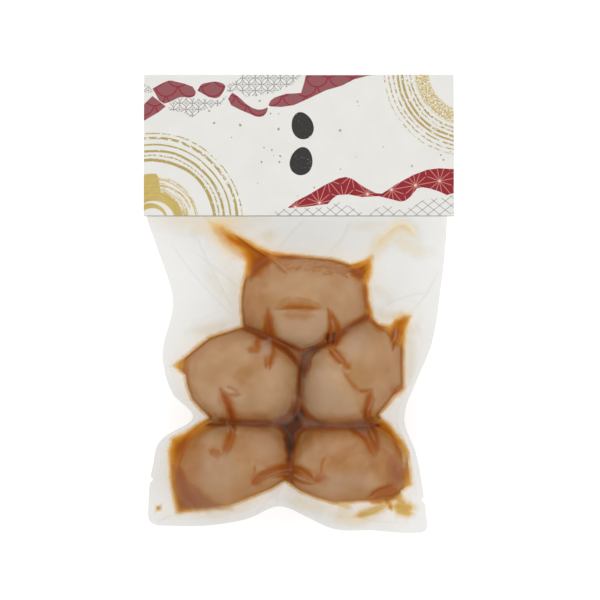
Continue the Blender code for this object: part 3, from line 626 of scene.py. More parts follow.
def depth_in_contents(x, y):
    """How far a place is inside the outline of the eggs, their marinade and the film's corners."""
    deepest = np.full_like(x, -FAR)
    for pocket_x, pocket_y, radius in POCKETS:
        deepest = np.maximum(deepest, radius - np.hypot(x - pocket_x, y - pocket_y))
    for egg in EGGS:
        for corner_x, corner_y in egg.corners:
            for part in np.arange(TIP_STEPS) / TIP_STEPS:
                dx = x - egg.x - part * (corner_x - egg.x)
                dy = y - egg.y - part * (corner_y - egg.y)
                level = egg.level(dx, dy, 1.0 - part, FILM_MARGIN, 2.0)
                distance = np.hypot(dx, dy)
                reach = np.where(level > 0.001, distance / np.maximum(level, 0.001), egg.width / 2)
                deepest = np.maximum(deepest, reach - distance)
    return deepest


def seam_height(x, y):
    """Height of the middle of the sealed rim: level round the eggs, then sloping to the card."""
    bend = CARD_BOTTOM_Y - BEND_START_Y
    past = np.maximum(y - BEND_START_Y, 0.0)
    fall = HEADER_SLOPE * np.where(past < bend, past**2 / (2 * bend), past - bend / 2)
    free = np.maximum(smooth_step(*DROOP_SIDES, np.abs(x)), smooth_step(*DROOP_END, -y))
    free = free * smooth_step(*DROOP_FADE, y)
    wave = np.sin(2 * math.pi * (y + RIM_WAVE_SKEW * x) / RIM_WAVE_LENGTH)
    return SEAM_HEIGHT - fall - free * (RIM_DROOP - RIM_WAVE * wave)


def uneven_seam(x, y, inside):
    """The same with the unevenness of the empty film, which fades at the contents and the card."""
    return seam_height(x, y) + (WRINKLE * smooth_noise(x, y, WRINKLE_SIZE, 7)
                                * smooth_step(*WRINKLE_START, inside) * smooth_step(*WRINKLE_END, y))


def relax_film(obstacle, depth):
    """Height of a tight film over the rim: on the eggs where it touches, taut and drawn in between."""
    ceiling = np.maximum(RIM_HALF_GAP, RIM_HALF_GAP + FILM_WALL_SLOPE * depth)
    inside = depth > 0.0
    floor = np.where(inside, np.maximum(obstacle, RIM_HALF_GAP), RIM_HALF_GAP)
    pull = FILM_PULL * LATTICE**2 / 4
    film = np.where(inside, np.minimum(np.maximum(obstacle, SLACK_HEIGHT), ceiling), RIM_HALF_GAP)
    for _ in range(RELAX_STEPS):
        mean = sum(np.roll(film, step, axis) for axis in (0, 1) for step in (1, -1)) / 4
        film = np.where(inside, np.maximum(floor, np.minimum(mean - pull, ceiling)), RIM_HALF_GAP)
    return blurred(film, FILM_ROUNDING)


class Lattice:
    """Everything that is worked out over the plan of the contents, point by point."""

    def __init__(self):
        self.x, self.y = np.meshgrid(np.arange(*LATTICE_X, LATTICE), np.arange(*LATTICE_Y, LATTICE))
        x, y = self.x, self.y
        self.folds = FOLDS + crinkles()
        self.inside = depth_in_contents(x, y)
        self.shown = in_polygon(MARINADE_OUTLINE, x, y)
        self.in_pouch = ((x > smooth_line(LEFT_SIDE, y) + SKIN_FROM_EDGE)
                         & (x < smooth_line(RIGHT_SIDE, y) - SKIN_FROM_EDGE)
                         & (y > smooth_line(BOTTOM_SIDE, x) + SKIN_FROM_EDGE))
        over, under, self.egg_over, self.egg_under = np.full((4,) + x.shape, -FAR)
        levels = []
        for egg in EGGS:
            lift = egg.centre_height() - seam_height(x, y)
            dome = egg.dome(egg.level(x - egg.x, y - egg.y, margin=0.0, power=2.0))
            over, under = np.maximum(over, lift + dome), np.maximum(under, dome - lift)
            levels.append(egg.level(x - egg.x, y - egg.y))
            dome = egg.dome(levels[-1], EGG_UNDER_FILM)
            self.egg_over = np.maximum(self.egg_over, lift + dome)
            self.egg_under = np.maximum(self.egg_under, dome - lift)
        nearest, second = np.sort(levels, axis=0)[:2]
        self.from_contact = np.where(second < CONTACT_LEVEL, (second - nearest) * CONTACT_SCALE, FAR)
        self.over, self.under = relax_film(over, self.inside), relax_film(under, self.inside)
        self.egg_over = np.minimum(self.egg_over, self.over - EGG_UNDER_FILM)
        self.egg_under = np.minimum(self.egg_under, self.under - EGG_UNDER_FILM)
        self.relief = self.strokes(
            [(height * FOLD_RISE, half_width + FOLD_FOOT, points)
             for (half_width, _, height, _), points in self.folds if height > 0.0]
            + [(*values, points) for values, points in RIM_RIDGES], thin_end=0.6)
        self.film_over = self.over + self.relief + SHEET_GAP
        self.stains = self.strokes([(strength, half_width, points)
                                    for (half_width, strength), points in STAINS], thin_end=0.8)
        self.creases = self.strokes([(1.0, CREASE_WIDTH, points) for _, points in RIM_RIDGES], thin_end=0.4)

    def window(self, points, reach):
        """The part of the lattice that lies within reach of the points."""
        corners = np.array((np.min(points, axis=0) - reach, np.max(points, axis=0) + reach))
        places = (corners - (LATTICE_X[0], LATTICE_Y[0])) / LATTICE
        (left, low), (right, high) = np.clip(places, 0, self.x.shape[::-1]).astype(int)
        return slice(low, high + 1), slice(left, right + 1)

    def stroke(self, half_width, points, thin_end):
        """A line with soft sides and thinner ends: its window, and its strength from 0 to 1 there."""
        path = smooth_path(points)
        area = self.window(path, half_width * 3.0)
        x, y = self.x[area], self.y[area]
        near, place = np.full_like(x, FAR), np.zeros_like(x)
        done = 0.0
        for start, end in zip(path, path[1:]):
            distance, t = from_line(x, y, start, end)
            length = np.hypot(*(end - start))
            place = np.where(distance < near, done + t * length, place)
            near = np.minimum(near, distance)
            done += length
        end = smooth_step(0.0, 1.0, np.minimum(place, done - place) / done * 4.0)
        width = half_width * (thin_end + (1.0 - thin_end) * end)
        return area, np.exp(-(near / width) ** 2) * (FADED_END + (1.0 - FADED_END) * end)

    def strokes(self, lines, thin_end):
        """The highest of several lines, each as (height, half width, points)."""
        total = np.zeros_like(self.x)
        for height, half_width, points in lines:
            area, strength = self.stroke(half_width, points, thin_end)
            total[area] = np.maximum(total[area], height * strength)
        return total

    def patch(self, points, softness):
        """A polygon with a soft and slightly uneven edge: its window, and its strength there."""
        area = self.window(points, softness * 2.0 + 1.0)
        x, y = self.x[area], self.y[area]
        off_x, off_y = (PATCH_UNEVENNESS * smooth_noise(x, y, PATCH_LUMPS, seed) for seed in (11, 12))
        return area, smooth_step(-softness, softness, in_polygon(points, x + off_x, y + off_y))

    def read(self, values, x, y):
        """Value of a lattice at each place, between its four nearest points."""
        column = np.clip((x - LATTICE_X[0]) / LATTICE, 0.0, values.shape[1] - 1.001)
        row = np.clip((y - LATTICE_Y[0]) / LATTICE, 0.0, values.shape[0] - 1.001)
        i, j = row.astype(int), column.astype(int)
        return between(values, i, j, row - i, column - j)

    def marinade(self, film, egg_height):
        """The marinade under a film: its optical depth, whether an egg is behind it, and how dark it is, from
        deep marinade and painted shade.
        """
        x, y, inside = self.x, self.y, self.shown
        on_egg = (egg_height > -FAR / 2) & (inside > EGG_IN_OUTLINE)
        gap = np.where(on_egg, np.maximum(film - egg_height - EGG_UNDER_FILM, 0.0), 0.0)
        over_egg = BASE_DEPTH * lumpy(x, y, *BASE_LUMPS) + GAP_RATE * gap
        fringe = FRINGE_RATE * np.maximum(inside, 0.0) ** FRINGE_GROWTH
        pocket = np.zeros_like(x)
        for pocket_x, pocket_y, radius in POCKETS:
            out = np.hypot(x - pocket_x, y - pocket_y) / radius / POCKET_SPREAD
            pocket = np.maximum(pocket, np.exp(-(out**2)))
        # Darkness of deep marinade together with painted shade: in gaps between film and egg, in the pockets
        # and in the pinched corners, where little light gets in
        corner = CORNER_DARKNESS * smooth_step(*CORNER_GLOOM, inside) * (1.0 - pocket)
        gloom = np.where(on_egg, GAP_DARKNESS * smooth_step(*GAP_GLOOM, gap),
                         np.maximum(smooth_step(*INNER_GLOOM, inside) * pocket, corner))
        depth = blurred(np.where(inside > 0.0, np.where(on_egg, over_egg, fringe), 0.0), BLUR)
        gloom = blurred(np.where(inside > 0.0, gloom, 0.0), BLUR)
        outside = np.maximum(-inside, 0.0)
        halo = (HALO_DEPTH * np.exp(-outside / HALO_REACH) * lumpy(x, y, HALO_LUMPS)
                + SEEP_DEPTH * np.exp(-outside / SEEP_REACH) * lumpy(x, y, SEEP_LUMPS))
        by_egg = blurred(on_egg.astype(float), EDGE_BY_EGG)
        edge = np.exp(-((inside - EDGE_PLACE) / EDGE_HALF_WIDTH) ** 2)
        edge *= EDGE_ALONE + (EDGE_ON_EGG - EDGE_ALONE) * by_egg
        edge *= EDGE_LOWEST + (1.0 - EDGE_LOWEST) * smooth_step(*EDGE_LOWEST_Y, y)
        shade = np.exp(-np.maximum(inside, 0.0) / EDGE_SHADE_REACH) * smooth_step(*OUTLINE_FADE, inside)
        depth = np.maximum(depth, halo * (inside < 0.0)) + EDGE_DEPTH * edge + EDGE_SHADE * shade
        # The dark line along the outline is darkened as well, partly a painted shade at the eggs' edges
        gloom = np.maximum(gloom, EDGE_GLOOM * edge * (inside > 0.0))
        return depth, blurred(on_egg.astype(float), BLUR), gloom

    def marks(self, depth, gloom):
        """Adds the shown side's patches, folds, valleys and streaks: depth, darkness from deep marinade and
        painted shade, and milkiness with a painted sheen.
        """
        pale = np.zeros_like(self.x)
        for (more, softness, sheen_amount, darkening), points in PATCHES:
            area, strength = self.patch(points, softness)
            depth[area] += PATCH_SHARE * more * strength
            pale[area] = np.maximum(pale[area], sheen_amount * strength)
            gloom[area] = np.maximum(gloom[area], darkening * strength)
        depth = np.maximum(depth, LEAST_INSIDE * (self.shown > 0.0))
        for share, width in FOLD_PROFILE:
            depth += self.strokes([(more * share, half_width * width, points)
                                   for (half_width, more, _, _), points in self.folds], thin_end=0.45)
        depth += self.strokes([(VALLEY_DEPTH, VALLEY_SPREAD * half_width, points)
                               for (half_width, _), points in VALLEYS], thin_end=0.8)
        # Dark fold cores, valleys and contacts between eggs: deep marinade and painted shade
        cores = [((half_width, darkening), points) for (half_width, _, _, darkening), points in self.folds if darkening]
        dark = self.strokes([(darkening, half_width, points) for (half_width, darkening), points in VALLEYS + cores],
                            thin_end=0.7)
        contact = np.exp(-(self.from_contact / CONTACT_HALF_WIDTH) ** 2)
        contact *= smooth_step(*CONTACT_FADE, self.shown)
        depth += CONTACT_DEPTH * contact
        dark = np.maximum(dark, CONTACT_GLOOM * contact) * smooth_step(*DARK_FADE, self.shown)
        # Pale streaks along folds of film: painted highlights
        shine = self.strokes([(strength, half_width, points)
                              for (half_width, strength), points in STREAKS], thin_end=0.5)
        return depth, 1.0 - (1.0 - gloom) * (1.0 - dark), np.maximum(pale, shine)


CLEAR_SLOTS = ("clear_film", "film_over_marinade")      # these throw no shadow of their own


def new_object(name, data):
    thing = bpy.data.objects.new(name, data)
    bpy.context.scene.collection.objects.link(thing)
    return thing


def mesh_from(bm, name, *materials):
    """The mesh of a bmesh, which is freed."""
    mesh = bpy.data.meshes.new(name)
    bm.to_mesh(mesh)
    bm.free()
    for material in materials:
        mesh.materials.append(material)
    return mesh


def add_piece(name, mesh, slot, *nodes):
    """A piece of the pack, which stands for the given CAD nodes."""
    piece = new_object(name, mesh)
    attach(piece, "root")
    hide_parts(*nodes)
    piece.visible_shadow = slot not in CLEAR_SLOTS
    return piece


def pouch_place(across, along):
    """Place in the pouch's outline of shares from 0 to 1, left to right and bottom to top."""
    bottom_x = LEFT_SIDE[0][1] + across * (RIGHT_SIDE[0][1] - LEFT_SIDE[0][1])
    bottom = smooth_line(BOTTOM_SIDE, bottom_x)
    y = bottom + along * (POUCH_TOP_Y - bottom)
    sides = []
    for side, radius, notch_y in zip((LEFT_SIDE, RIGHT_SIDE), BOTTOM_CORNER_RADII, NOTCH_PLACES):
        corner = radius - np.sqrt(np.maximum(radius**2 - np.maximum(radius - y + bottom, 0.0) ** 2, 0.0))
        notch = NOTCH_DEPTH * np.maximum(1.0 - np.abs(y - notch_y) / NOTCH_HALF_HEIGHT, 0.0)
        inwards = 1.0 if side is LEFT_SIDE else -1.0
        sides.append(smooth_line(side, y) + inwards * (corner + notch))
    return sides[0] + across * (sides[1] - sides[0]), y


def sheet_mesh(name, x, y, z, keep, material, faces_down, **values):
    """A mesh of the quads of a grid whose four points are all kept, with values at its points."""
    number = np.full(x.shape, -1)
    number[keep] = np.arange(keep.sum())
    corners = np.stack((number[:-1, :-1], number[:-1, 1:], number[1:, 1:], number[1:, :-1]), -1)
    corners = corners[(corners >= 0).all(-1)]
    if faces_down:
        corners = corners[:, ::-1]
    used = np.zeros(keep.sum(), bool)
    used[corners.ravel()] = True
    place = np.cumsum(used) - 1
    points = np.stack((x[keep], y[keep], z[keep]), -1)[used] * MM
    mesh = bpy.data.meshes.new(name)
    mesh.from_pydata(points.tolist(), [], place[corners].tolist())
    mesh.shade_smooth()
    mesh.materials.append(material)
    for label, value in values.items():
        attribute = mesh.attributes.new(label, "FLOAT", "POINT")
        attribute.data.foreach_set("value", value[keep][used].astype(np.float32))
    return mesh


class Term:
    """A value in a material's nodes, for writing formulas: each sign or call adds a Math node."""

    def __init__(self, tree, socket):
        self.tree, self.socket = tree, socket

    def math(self, operation, *others):
        return add_node(self.tree, "Math", (self,) + others, operation=operation)

    __add__ = __radd__ = partialmethod(math, "ADD")
    __sub__ = partialmethod(math, "SUBTRACT")
    __mul__ = __rmul__ = partialmethod(math, "MULTIPLY")
    __truediv__ = partialmethod(math, "DIVIDE")
    __abs__ = partialmethod(math, "ABSOLUTE")

    def __rsub__(self, other):
        return self * -1.0 + other

    def most(self, other):
        return self.math("MAXIMUM", other)

    def raised(self, base):
        """base to the power of this value."""
        return add_node(self.tree, "Math", (base, self), operation="POWER")

    def rise(self, low, high):
        """0 up to low and 1 from high on, or the other way round where low is the greater."""
        return add_node(self.tree, "MapRange", {"Value": self, "From Min": low, "From Max": high},
                        interpolation_type="SMOOTHSTEP")

    def off_round(self):
        """How far this value is from the nearest whole number."""
        return self - self.math("ROUND")


def join(tree, value, slot):
    """Sets a socket to a number or a colour, or links a value to it."""
    if isinstance(value, Term):
        tree.links.new(value.socket, slot)
    elif hasattr(value, "__len__"):
        slot.default_value = (*value, 1.0)
    else:
        slot.default_value = value


def add_node(tree, kind, inputs=(), output=0, **settings):
    """An output of a new node with the given settings, and the given values at its inputs."""
    node = tree.nodes.new("ShaderNode" + kind)
    for name, value in settings.items():
        setattr(node, name, value)
    for slot, value in inputs.items() if isinstance(inputs, dict) else enumerate(inputs):
        join(tree, value, node.inputs[slot])
    return Term(tree, node.outputs[output])


def mixed(factor, first, second):
    """The first colour where the factor is 0 and the second where it is 1."""
    return add_node(factor.tree, "Mix", {0: factor, 6: first, 7: second}, 2, data_type="RGBA")


def attribute_of(tree, name):
    return add_node(tree, "Attribute", output="Fac", attribute_name=name)


def position(tree):
    """Places on the piece, in metres."""
    return add_node(tree, "TexCoord", output="Object")


def plan_of(tree):
    """X and Y on the piece, in millimetres."""
    place = position(tree)
    return [add_node(tree, "SeparateXYZ", (place,), axis) * 1000.0 for axis in (0, 1)]


def noise_at(vector, scale, detail=2.0, roughness=0.5):
    """Noise of about 0 to 1 at a vector, or at three values, with lumps of 1 over the scale."""
    if isinstance(vector, tuple):
        vector = add_node(vector[0].tree, "CombineXYZ", vector)
    values = {"Vector": vector, "Scale": scale, "Detail": detail, "Roughness": roughness}
    return add_node(vector.tree, "TexNoise", values)


def bump(height, distance, strength, shader):
    """Gives a shader the relief of a height from 0 to 1, which stands for the distance."""
    values = {"Strength": strength, "Distance": distance * MM, "Height": height}
    join(height.tree, add_node(height.tree, "Bump", values), shader.inputs["Normal"])


def new_material(name, **values):
    """A material with one Principled shader, and values for its sockets with _ for a space."""
    material = bpy.data.materials.new(name)
    material.use_nodes = True
    tree = material.node_tree
    shader = tree.nodes["Principled BSDF"]
    for socket, value in values.items():
        join(tree, value, shader.inputs[socket.replace("_", " ")])
    return material, tree, shader


def film_material():
    """Clear film, a little denser in its creases, and greyer towards the low left of the pouch as painted
    shade.
    """
    material, tree, shader = new_material("clear_film", Roughness=0.22, IOR=1.7)
    place = position(tree)
    x, y = plan_of(tree)
    cloud = noise_at(place, 38.0, 4.0, 0.6)
    # Painted shade: more cover towards the low left of the pouch
    low_left_shade = (x + y * 1.6).rise(-70.0, -215.0) * 0.035
    stain = attribute_of(tree, "stain") * (cloud * 1.2 + 0.4)
    join(tree, mixed(stain.math("MINIMUM", 1.0), (0.082, 0.078, 0.022), (0.50, 0.35, 0.07)),
         shader.inputs["Base Color"])
    cover = attribute_of(tree, "crease") * 0.038 + cloud * 0.05 + low_left_shade + stain * 0.17 + 0.105
    join(tree, cover, shader.inputs["Alpha"])
    bump(noise_at(place, 170.0, 3.0) * 0.7 + noise_at(place, 620.0) * 0.3, 0.5, 0.25, shader)
    return material


def marinade_material():
    """Thin marinade stains what is behind it, as its depth tells, and thick marinade hides it; its darkness
    is partly painted shade, and its milky pale colour partly a painted sheen.
    """
    material, tree, shader = new_material("marinade", Roughness=0.42, Specular_IOR_Level=0.04)
    white, egg = (0.90, 0.89, 0.86), (0.50, 0.29, 0.145)
    brown, shaded_deep_brown, pale = (0.27, 0.056, 0.009), (0.060, 0.011, 0.008), (0.57, 0.415, 0.315)
    depth, behind, gloom, sheen_amount = (attribute_of(tree, name) for name in ("depth", "on_egg", "gloom", "pale"))
    depth = depth * (noise_at(position(tree), 260.0, 3.0) * 0.8 + 0.6)
    passed = [depth.raised(math.exp(-rate)) for rate in ABSORPTION]
    alpha = (1.0 - passed[2]).most(0.002)
    tint = add_node(tree, "CombineColor", [(behind * (on - off) + off) * (through - passed[2]) / alpha
                                           for on, off, through in zip(egg, white, passed)])
    # Painted shade with deep marinade: the darkness attribute turns the tint to brown, and past 0.35 to a
    # near-black shaded brown
    darkening = gloom.rise(0.0, 0.5)
    dense = darkening + (1.0 - darkening) * alpha
    tint = mixed(darkening / dense, tint, brown)
    tint = mixed(gloom.rise(0.35, 1.0), tint, shaded_deep_brown)
    # Painted sheen: a milky pale colour laid over the marinade where the film shines
    cover = sheen_amount + (1.0 - sheen_amount) * dense
    join(tree, mixed(sheen_amount / cover, tint, pale), shader.inputs["Base Color"])
    join(tree, cover, shader.inputs["Alpha"])
    bump(noise_at(position(tree), 420.0), 0.3, 0.2, shader)
    return material


def egg_material():
    """Boiled white that marinade has stained, in broad clouds and fine grain."""
    material, tree, shader = new_material(
        "egg", Roughness=0.55, Subsurface_Weight=0.12, Subsurface_Scale=0.004, Specular_IOR_Level=0.2)
    shader.inputs["Subsurface Radius"].default_value = (1.0, 0.6, 0.35)
    place = position(tree)
    broad, fine = noise_at(place, 55.0, 3.0, 0.55), noise_at(place, 420.0, 3.0, 0.6)
    tan = mixed(broad.rise(0.35, 0.68), (0.55, 0.355, 0.213), (0.455, 0.270, 0.135))
    tan = mixed(fine * 0.3, tan, (0.41, 0.240, 0.120))
    join(tree, tan, shader.inputs["Base Color"])
    join(tree, fine * 0.15 + 0.38, shader.inputs["Roughness"])
    bump(fine, 0.2, 0.2, shader)
    return material


def build_films(lattice):
    """The two sheets of film, out to the pouch's outline and up into the header card."""
    material = film_material()
    for name, step, upper in (("film_front", FRONT_STEP, True), ("film_back", BACK_STEP, False)):
        columns, rows_of_points = round(CARD_WIDTH / step), round(CARD_TOP_Y * 2 / step)
        x, y = pouch_place(*np.meshgrid(np.linspace(0, 1, columns), np.linspace(0, 1, rows_of_points)))
        inside, over, under, relief, crease, stain = (
            lattice.read(values, x, y) for values in (lattice.inside, lattice.film_over, lattice.under,
                                                      lattice.relief, lattice.creases, lattice.stains))
        seam = uneven_seam(x, y, inside)
        z = seam + over if upper else np.maximum(seam - under + relief * smooth_step(0.5, -1.0, inside), 0.0)
        crease = crease * smooth_step(CARD_BOTTOM_Y + 1.0, CARD_BOTTOM_Y - 2.0, y)
        mesh = sheet_mesh(name, x, y, z, np.ones(x.shape, bool), material, not upper,
                          crease=crease, stain=stain)
        add_piece(name, mesh, "clear_film", "vacuum_pouch")


def build_marinade(lattice):
    """The marinade's upper and lower skins, just inside the films."""
    material = marinade_material()
    seam = uneven_seam(lattice.x, lattice.y, lattice.inside)
    under_film = np.clip(lattice.over * 0.5, SHEET_GAP / 2, SKIN_UNDER_FILM)
    depth, on_egg, gloom = lattice.marinade(lattice.over, lattice.egg_over)
    depth, gloom, pale = lattice.marks(depth, gloom)
    lower_depth, lower_on_egg, lower_gloom = lattice.marinade(lattice.under, lattice.egg_under)
    lower_on_egg = np.maximum(lower_on_egg, LOWER_EGG_SHARE)
    sheets = (("marinade_front", seam + lattice.film_over - under_film, True, depth, on_egg, gloom, pale),
              ("marinade_back", np.maximum(seam - lattice.under + under_film, SKIN_LOWEST),
               lattice.shown > -SKIN_OVERHANG, lower_depth, lower_on_egg, lower_gloom, np.zeros_like(pale)))
    for name, z, wanted, depth, on_egg, gloom, pale in sheets:
        depth = DEEPEST * (1.0 - np.exp(-depth / DEEPEST))
        keep = (depth > LEAST_DEPTH) & (lattice.y < CARD_BOTTOM_Y) & lattice.in_pouch & wanted
        mesh = sheet_mesh(name, lattice.x, lattice.y, z, keep, material, name == "marinade_back",
                          depth=depth, on_egg=on_egg, gloom=gloom, pale=pale)
        add_piece(name, mesh, "film_over_marinade", "vacuum_pouch")


def egg_shape(egg, points):
    """How far points are out from the egg's centre, as a share of the way to its surface."""
    up = (points[:, 2] - egg.centre_height()) / (egg.width / 2 * EGG_FLATTENING - EGG_UNDER_FILM)
    return np.hypot(egg.level(points[:, 0] - egg.x, points[:, 1] - egg.y), up)


def build_eggs(lattice):
    """Five eggs, each pressed flat where it meets another and where it rests."""
    material = egg_material()
    for number, egg in enumerate(EGGS):
        bm = bmesh.new()
        bmesh.ops.create_uvsphere(bm, u_segments=EGG_SEGMENTS[0], v_segments=EGG_SEGMENTS[1], radius=1.0)
        side, up, end = np.array([v.co for v in bm.verts]).T
        along = end * (egg.length / 2 + EGG_SPREAD)
        across = side * (egg.width / 2 + EGG_SPREAD) * (1.0 + egg.blunt * end)
        turn = math.radians(egg.turn)
        centre = np.array((egg.x, egg.y, egg.centre_height()))
        out = np.stack((along * math.cos(turn) - across * math.sin(turn),
                        along * math.sin(turn) + across * math.cos(turn),
                        up * (egg.width / 2 * EGG_FLATTENING - EGG_UNDER_FILM)), -1)
        low, high = np.zeros(len(out)), np.full(len(out), 2.0)
        for _ in range(EGG_SEARCH_STEPS):
            middle = (low + high) / 2
            trial = centre + out * middle[:, None]
            clear = lattice.read(lattice.shown, trial[:, 0], trial[:, 1]) > EGG_IN_OUTLINE
            clear &= egg_shape(egg, trial) < 1.0
            for other in EGGS:
                if other is not egg:
                    clear &= egg_shape(other, trial) > egg_shape(egg, trial) + EGG_GAP_SHARE
            low, high = np.where(clear, middle, low), np.where(clear, high, middle)
        dent = np.array([noise.noise(Vector(p * 0.06) + Vector((number * 9.0, 0, 0))) for p in out])
        x, y, z = (centre + out * (low * (1.0 - EGG_DENTS * (0.5 + 0.5 * dent)))[:, None]).T
        seam = seam_height(x, y)
        z = np.minimum(z, seam + lattice.read(lattice.over, x, y) - EGG_UNDER_FILM)
        z = np.maximum(z, np.maximum(seam - lattice.read(lattice.under, x, y) + EGG_UNDER_FILM, EGG_LOWEST))
        for vertex, place in zip(bm.verts, np.stack((x, y, z), -1) * MM):
            vertex.co = place
        bmesh.ops.recalc_face_normals(bm, faces=bm.faces[:])
        mesh = mesh_from(bm, f"egg_{number + 1}", material)
        mesh.shade_smooth()
        add_piece(f"egg_{number + 1}", mesh, "egg", "vacuum_pouch")


# The card's print: red bands, fine lattices, gold brush strokes and flecks
RED_BANDS = (
    pairs(-71.5, 91.8, -67.5, 95.7, -61.3, 90.9, -64.8, 88.1, -71.5, 84.2),
    pairs(-67.5, 99.1, -64.4, 100.9, -61.3, 102.4, -59.4, 102.9, -56.9, 102.4, -47.5, 97.6, -48, 96,
        -49.1, 95.2, -54.6, 95.2, -59, 93.2, -62.2, 92.2),
    pairs(-46.8, 98.2, -45, 101, -41.5, 102, -38.3, 102.4, -33.9, 100.5, -35.5, 96.6, -36.8, 95.2, -38.8,
        94.7),
    pairs(-30.7, 97.3, -32.6, 94.3, -22, 87.2, -20, 86.3, -17.8, 86.1, -16, 86.7, -14.4, 90.4, -16.5,
        89.6, -19.2, 89.5, -23.4, 91.4, -28, 95.5),
    pairs(-14, 91.5, -13, 93.6, -11.2, 95, -6, 96.7, 1, 97.1, 2.2, 101, 3.3, 107, 36, 107, 32.3, 105.2,
        25.5, 103.4, 19.9, 100.5, 12.4, 98.3, 5.6, 95, -2.2, 91.5, -8, 90.6, -13.2, 90.9),
)
STAR_BAND = pairs(
    -5, 44.2, -1.5, 47, 4.2, 49.9, 12, 54.6, 18.5, 57.7, 21.5, 58.3, 24.5, 57.5, 30, 53.6, 35.5, 50.8,
    38.3, 50.6, 45, 55, 52.5, 59.1, 59, 61.6, 64.5, 62.3, 71.6, 61.9, 71.6, 50.9, 68.2, 49.9, 64.5, 51.6,
    60.4, 52.9, 57, 53.5, 54.6, 53.1, 51.2, 49, 49, 47.3, 46.8, 46.9, 36.9, 49.4, 29.1, 49, 23, 50.2,
    17.8, 49.9, 15.5, 48.2, 13.4, 45.8, 4, 44.6, -4.5, 43.9)
NET_FIELDS = (
    pairs(-16.5, 39, -9.5, 43.3, 13.5, 44.3, 18, 47, 30.5, 41.5, 28, 39),
    pairs(32.5, 39, 33, 42.5, 41.5, 46, 45, 43, 51, 44, 58, 48, 66, 48.6, 71.6, 50, 71.6, 42, 66, 39),
)
RING_FIELDS = (
    pairs(-33, 97, -33.5, 100.5, -27.5, 103.5, -25, 107, 3, 107, -3, 101, -12, 97, -24, 95.4, -28.5,
        98.5),
    pairs(-60, 92, -55, 95, -37, 93.8, -33.2, 95.6, -36, 91.5, -45, 89, -49.5, 85.5, -53.5, 88.2, -60,
        89),
    pairs(-71.6, 97.5, -71.6, 101.5, -68.5, 99.8, -67, 97),
)
FLECKS = pairs(
    -39, 83.2, -27, 82.3, -31, 76.5, -16.1, 71.8, -12.5, 70.8, -11.6, 68.2, -17.1, 65.1, -8.9, 65.3,
    -18.9, 55.4, -13, 87.5, -9.3, 87.4, -9.3, 80.5, -26.7, 45.4, -41.3, 88.9, -19.7, 96, -18, 93.5, -8.6,
    67.9, 27, 93.2, 27.6, 91.2, 19.1, 79.8, 38.9, 72.2, 26.3, 67.6, 52.1, 63.3, 65.4, 68.4, 66.6, 66.2,
    69.8, 70, 19.2, 61.9, 7, 53.4, -0.6, 49.5)
FLECK_RADIUS = (0.28, 0.70)
BRUSHES = ((-67.1, 37.5, 43.0), (78.8, 107.4, 41.5))        # x, y, radius of the gold circles
BRUSH_ARCS = (                                              # radius, half width, dryness
    ((28.5, 0.60, 0.36), (30.6, 0.22, 0.47), (32.9, 0.50, 0.38), (35.8, 0.22, 0.36), (38.7, 0.50, 0.45),
     (41.0, 0.18, 0.48)),
    ((27.4, 0.40, 0.47), (29.2, 0.30, 0.48), (31.3, 0.38, 0.40), (33.2, 0.36, 0.40), (35.3, 0.22, 0.46),
     (37.2, 0.20, 0.47), (39.4, 0.16, 0.50)),
)
INK_EGGS = ((1.6, 82.0, 5.0, 6.4, 16.0), (1.2, 65.6, 5.2, 6.6, -12.0))  # x, y, half sizes, tilt
PAPER = (0.675, 0.665, 0.635)
RED = (0.25, 0.045, 0.050)
DEEP_RED = (0.255, 0.002, 0.011)
GOLD = (0.44, 0.315, 0.066)
LINE_GREY = (0.14, 0.12, 0.13)
LINE_BLUR = 0.06


def circle(x, y, radius, steps):
    turns = 2 * math.pi * np.arange(steps) / steps
    return np.stack((x + radius * np.cos(turns), y + radius * np.sin(turns)), -1)


def ink_egg(x, y, half_width, half_height, tilt):
    """Outline of an egg that narrows upwards and leans by the tilt."""
    angles = 2 * math.pi * np.arange(40) / 40 + math.radians(62.0)
    dx = half_width * np.cos(angles) * (1.0 - 0.12 * np.sin(angles))
    dy = half_height * np.sin(angles)
    turn = math.radians(tilt)
    return np.stack((x + dx * math.cos(turn) - dy * math.sin(turn),
                     y + dx * math.sin(turn) + dy * math.cos(turn)), -1)


def print_fields():
    """Every field of the print as (name, outline in plan), later ones over earlier ones."""
    rng = np.random.default_rng(21)
    fields = [(name, circle(*brush, 72)) for name, brush in zip(("brush_left", "brush_right"), BRUSHES)]
    fields += [("net", points) for points in NET_FIELDS]
    fields += [("rings", points) for points in RING_FIELDS]
    fields += [("scales", smooth_path(np.vstack((points, points[:1])), 3)[:-1]) for points in RED_BANDS[1:4]]
    fields += [("scales", RED_BANDS[0]), ("scales", RED_BANDS[4]), ("stars", STAR_BAND)]
    for fleck in FLECKS:
        spot = circle(*fleck, rng.uniform(*FLECK_RADIUS), 7)
        fields.append(("gold", fleck + (spot - fleck) * rng.uniform(0.6, 1.25, (7, 1))))
    return fields + [("ink", ink_egg(*values)) for values in INK_EGGS]


